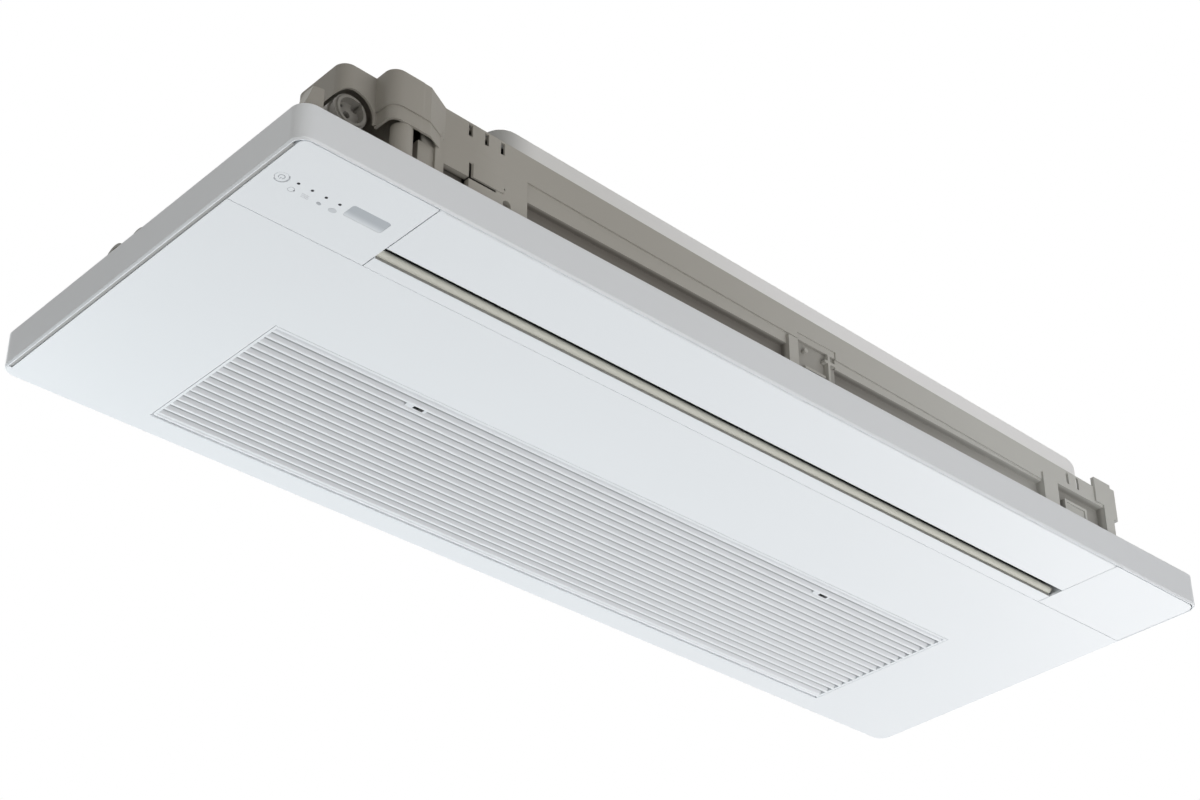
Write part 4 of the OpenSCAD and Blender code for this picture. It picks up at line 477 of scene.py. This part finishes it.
def lamp_signs():
    """One plain sign beside each lamp."""
    z, h = COVER_FACE - PRINT_H, PRINT_H + PRINT_SINK
    x = [LAMP_X + i * LAMP_PITCH for i in range(LAMPS)]
    bm = bmesh.new()
    ring(bm, at(x[0], SIGN_Y, z), 2.6, 3.2, h)
    disc(bm, at(x[0] + 2.9, SIGN_Y, z), 0.9, h)
    piece("sign_timer", bm, "print_faint", smooth=False)
    bm = bmesh.new()
    for i in (-1, 0, 1):
        bar(bm, at(x[1] + 0.6 * i, SIGN_Y + 1.9 * i, z), 7.4, 1.0, h)
    piece("sign_air", bm, "print_pale", smooth=False)
    bm = bmesh.new()
    disc(bm, at(x[2], SIGN_Y, z, 20), 2.5, h, flat=0.7)
    piece("sign_filter", bm, "print_and_shade_grey", smooth=False)
    bm = bmesh.new()
    disc(bm, at(x[3], SIGN_Y, z), 4.0, h, flat=0.75)
    piece("sign_sleep", bm, "print_faint", smooth=False)


def lamp_windows():
    """The dark glazed dot over each lamp, and an arc of painted shade on one side of the button's rim."""
    bm = bmesh.new()
    for i in range(LAMPS):
        disc(bm, at(LAMP_X + i * LAMP_PITCH, BUTTON_Y - 2.0, COVER_FACE - PRINT_H), 1.45, PRINT_H)
    piece("lamp_windows", bm, "lens_dark", smooth=False)
    bm = bmesh.new()
    # painted shade on one side of the button's rim
    ring(bm, at(BUTTON_X, BUTTON_Y, COVER_FACE - PRINT_H), 6.5, 7.2, PRINT_H, start=-50, end=130)
    piece("button_shade_arc", bm, "print_and_shade_grey", smooth=False)


# Middle, width, length and depth of the left shadow gap, in millimetres
GAP_X, GAP_W, GAP_L, GAP_T = -598.05, 3.3, 433.0, 4.2


def gap_light_strip():
    """A grey strip in the shadow gap along the left edge: painted light, so that the gap reads paler than
    its shade.
    """
    bm = bmesh.new()
    bar(bm, at(GAP_X, 1.0, 1.0), GAP_W, GAP_L, GAP_T)
    piece("gap_light_strip", bm, "gap_light_pale", smooth=False)


# The catches stand at the right end of their travel while the unit is at rest
CATCH_X, CATCH_Y, CATCH_TRAVEL = 278.0, 26.2, 5.5
GRIP_L, GRIP_W, GRIP_T, RIB_PITCH = 5.4, 3.1, 1.15, 1.6


def catch_grips():
    """The ribbed finger grip on each catch's tab, which moves in its slot."""
    for side, label in ((-1, "left"), (1, "right")):
        x = side * CATCH_X + CATCH_TRAVEL
        bm = bmesh.new()
        bar(bm, at(x, CATCH_Y, 0.7), GRIP_L, GRIP_W, GRIP_T, edge=0.3)
        for i in (-1, 0, 1):
            bar(bm, at(x + RIB_PITCH * i, CATCH_Y, 0.45), 0.6, 2.6, 0.4)
        piece("catch_grip_" + label, bm, "dark_plastic", "catch_" + label)


SLOT_X, SLOT_EDGE_Y, SLOT_L = 2.5, -137.95, 913.0


def slot_shade_strip():
    """A grey strip along the far side of the outlet slot: painted shade on the slot's shadowed edge."""
    bm = bmesh.new()
    bar(bm, at(SLOT_X, SLOT_EDGE_Y, 0.25), SLOT_L, 0.3, 2.7)
    piece("slot_shade_strip", bm, "shade_strip_grey", smooth=False)


# The two unions: name, place in Y and Z, radius
UNIONS = (("gas", 77.0, 50.0, 9.525), ("liquid", 39.5, 47.0, 5.555))
THREAD_X, THREAD_PITCH, THREAD_TURNS = -584.0, 1.3, 8
TIES_X, SLEEVE_R, TIE_T, TIE_W = (-556.0, -508.0), 16.7, 1.0, 3.6


def pipe_ends():
    """Threads on the two unions and ties round the two sleeves."""
    for name, y, z, r in UNIONS:
        bm = bmesh.new()
        for i in range(THREAD_TURNS):
            place = Matrix.Translation((THREAD_X + THREAD_PITCH * i, y, z)) @ TURN_X
            ring(bm, place, r - 0.3, r + 0.35, 0.6, steps=32)
        piece(name + "_thread", bm, "brass")
        bm = bmesh.new()
        for x in TIES_X:
            ring(bm, Matrix.Translation((x, y, z)) @ TURN_X, SLEEVE_R, SLEEVE_R + TIE_T, TIE_W, steps=40)
            bar(bm, at(x + TIE_W / 2, y, z + 18.6), 4.6, 5.2, 2.2, edge=0.5)
        piece(name + "_ties", bm, "tie_black")


power_sign()
lamp_signs()
lamp_windows()
gap_light_strip()
catch_grips()
slot_shade_strip()
pipe_ends()


# Soft studio lamps: name, place, aimed at, size, watts, colour
LAMP_ROWS = (
    ("below_front", (0.2, -2.5, -1.7), (0, 0, 0), (2.6, 1.6), 40.5, (1.0, 0.99, 0.98)),
    ("below_right", (2.2, 0.4, -1.6), (0.6, 0, 0), (1.4, 1.4), 38, (0.985, 0.98, 0.975)),
    ("below_back", (-0.55, 1.35, -0.9), (-0.5, 0.15, 0), (0.8, 0.8), 15.5, (0.92, 0.985, 1.0)),
    ("left", (-1.5, -0.7, -0.1), (-0.6, 0, 0.02), (0.8, 0.6), 2.4, (1.0, 0.97, 0.90)),
    ("front_right", (1.8, -1.9, 1.2), (0.2, 0, 0.1), (1.2, 1.2), 7, (1.0, 0.98, 0.96)),
    ("above", (0.4, 0.8, 3.0), (0, 0, 0.1), (2.8, 2.2), 58, (1, 1, 1)),
    ("behind", (-0.8, 3.2, 0.9), (0, 0, 0.05), (2.4, 1.6), 30, (1, 1, 1)),
)


def lamp(name, place, aim, size, power, colour):
    d = bpy.data.lights.new(name, "AREA")
    d.shape, d.size, d.size_y = "RECTANGLE", size[0], size[1]
    d.energy, d.color = power, colour
    o = bpy.data.objects.new(name, d)
    o.location = place
    o.rotation_euler = (Vector(aim) - Vector(place)).to_track_quat("-Z", "Y").to_euler()
    o.visible_camera = False
    scene.collection.objects.link(o)


for row in LAMP_ROWS:
    lamp(*row)

WORLD_LEVEL = 0.20


def make_world():
    """Soft plain light from all round; camera, gloss and glass see white."""
    w = bpy.data.worlds.new("world")
    scene.world = w
    w.use_nodes = True
    t = w.node_tree
    t.nodes.clear()
    out = add(t, "ShaderNodeOutputWorld")
    soft = add(t, "ShaderNodeBackground")
    soft.inputs[0].default_value = (1.0, 0.99, 0.97, 1)
    soft.inputs[1].default_value = WORLD_LEVEL
    white = add(t, "ShaderNodeBackground")
    white.inputs[0].default_value = (1, 1, 1, 1)
    white.inputs[1].default_value = 1.0
    lp = add(t, "ShaderNodeLightPath")
    seen = math_node(t, "MAXIMUM", lp.outputs["Is Camera Ray"], lp.outputs["Is Glossy Ray"])
    seen = math_node(t, "MAXIMUM", seen, lp.outputs["Is Transmission Ray"])
    mix = add(t, "ShaderNodeMixShader")
    wire(t, seen, mix.inputs[0])
    wire(t, soft.outputs[0], mix.inputs[1])
    wire(t, white.outputs[0], mix.inputs[2])
    wire(t, mix.outputs[0], out.inputs[0])


make_world()


FLOOR_Z, FLOOR_SIZE, FLOOR_GLOW = -5.2, 40.0, 0.8


def make_floor():
    """A wide pale floor below every view; most of what the camera sees of it is plain white."""
    me = bpy.data.meshes.new("floor")
    bm = bmesh.new()
    bmesh.ops.create_grid(bm, x_segments=8, y_segments=8, size=FLOOR_SIZE)
    bmesh.ops.translate(bm, verts=bm.verts, vec=(0, 0, FLOOR_Z))
    bm.to_mesh(me)
    bm.free()
    o = bpy.data.objects.new("floor", me)
    scene.collection.objects.link(o)
    m = bpy.data.materials.new("floor")
    m.use_nodes = True
    t = m.node_tree
    bsdf = t.nodes["Principled BSDF"]
    bsdf.inputs["Base Color"].default_value = (0.86, 0.86, 0.86, 1)
    bsdf.inputs["Roughness"].default_value = 0.9
    em = add(t, "ShaderNodeEmission")
    em.inputs[0].default_value = (1, 1, 1, 1)
    lp = add(t, "ShaderNodeLightPath")
    mix = add(t, "ShaderNodeMixShader")
    wire(t, math_node(t, "MULTIPLY", lp.outputs["Is Camera Ray"], FLOOR_GLOW), mix.inputs[0])
    wire(t, bsdf.outputs[0], mix.inputs[1])
    wire(t, em.outputs[0], mix.inputs[2])
    wire(t, mix.outputs[0], t.nodes["Material Output"].inputs[0])
    me.materials.append(m)


make_floor()
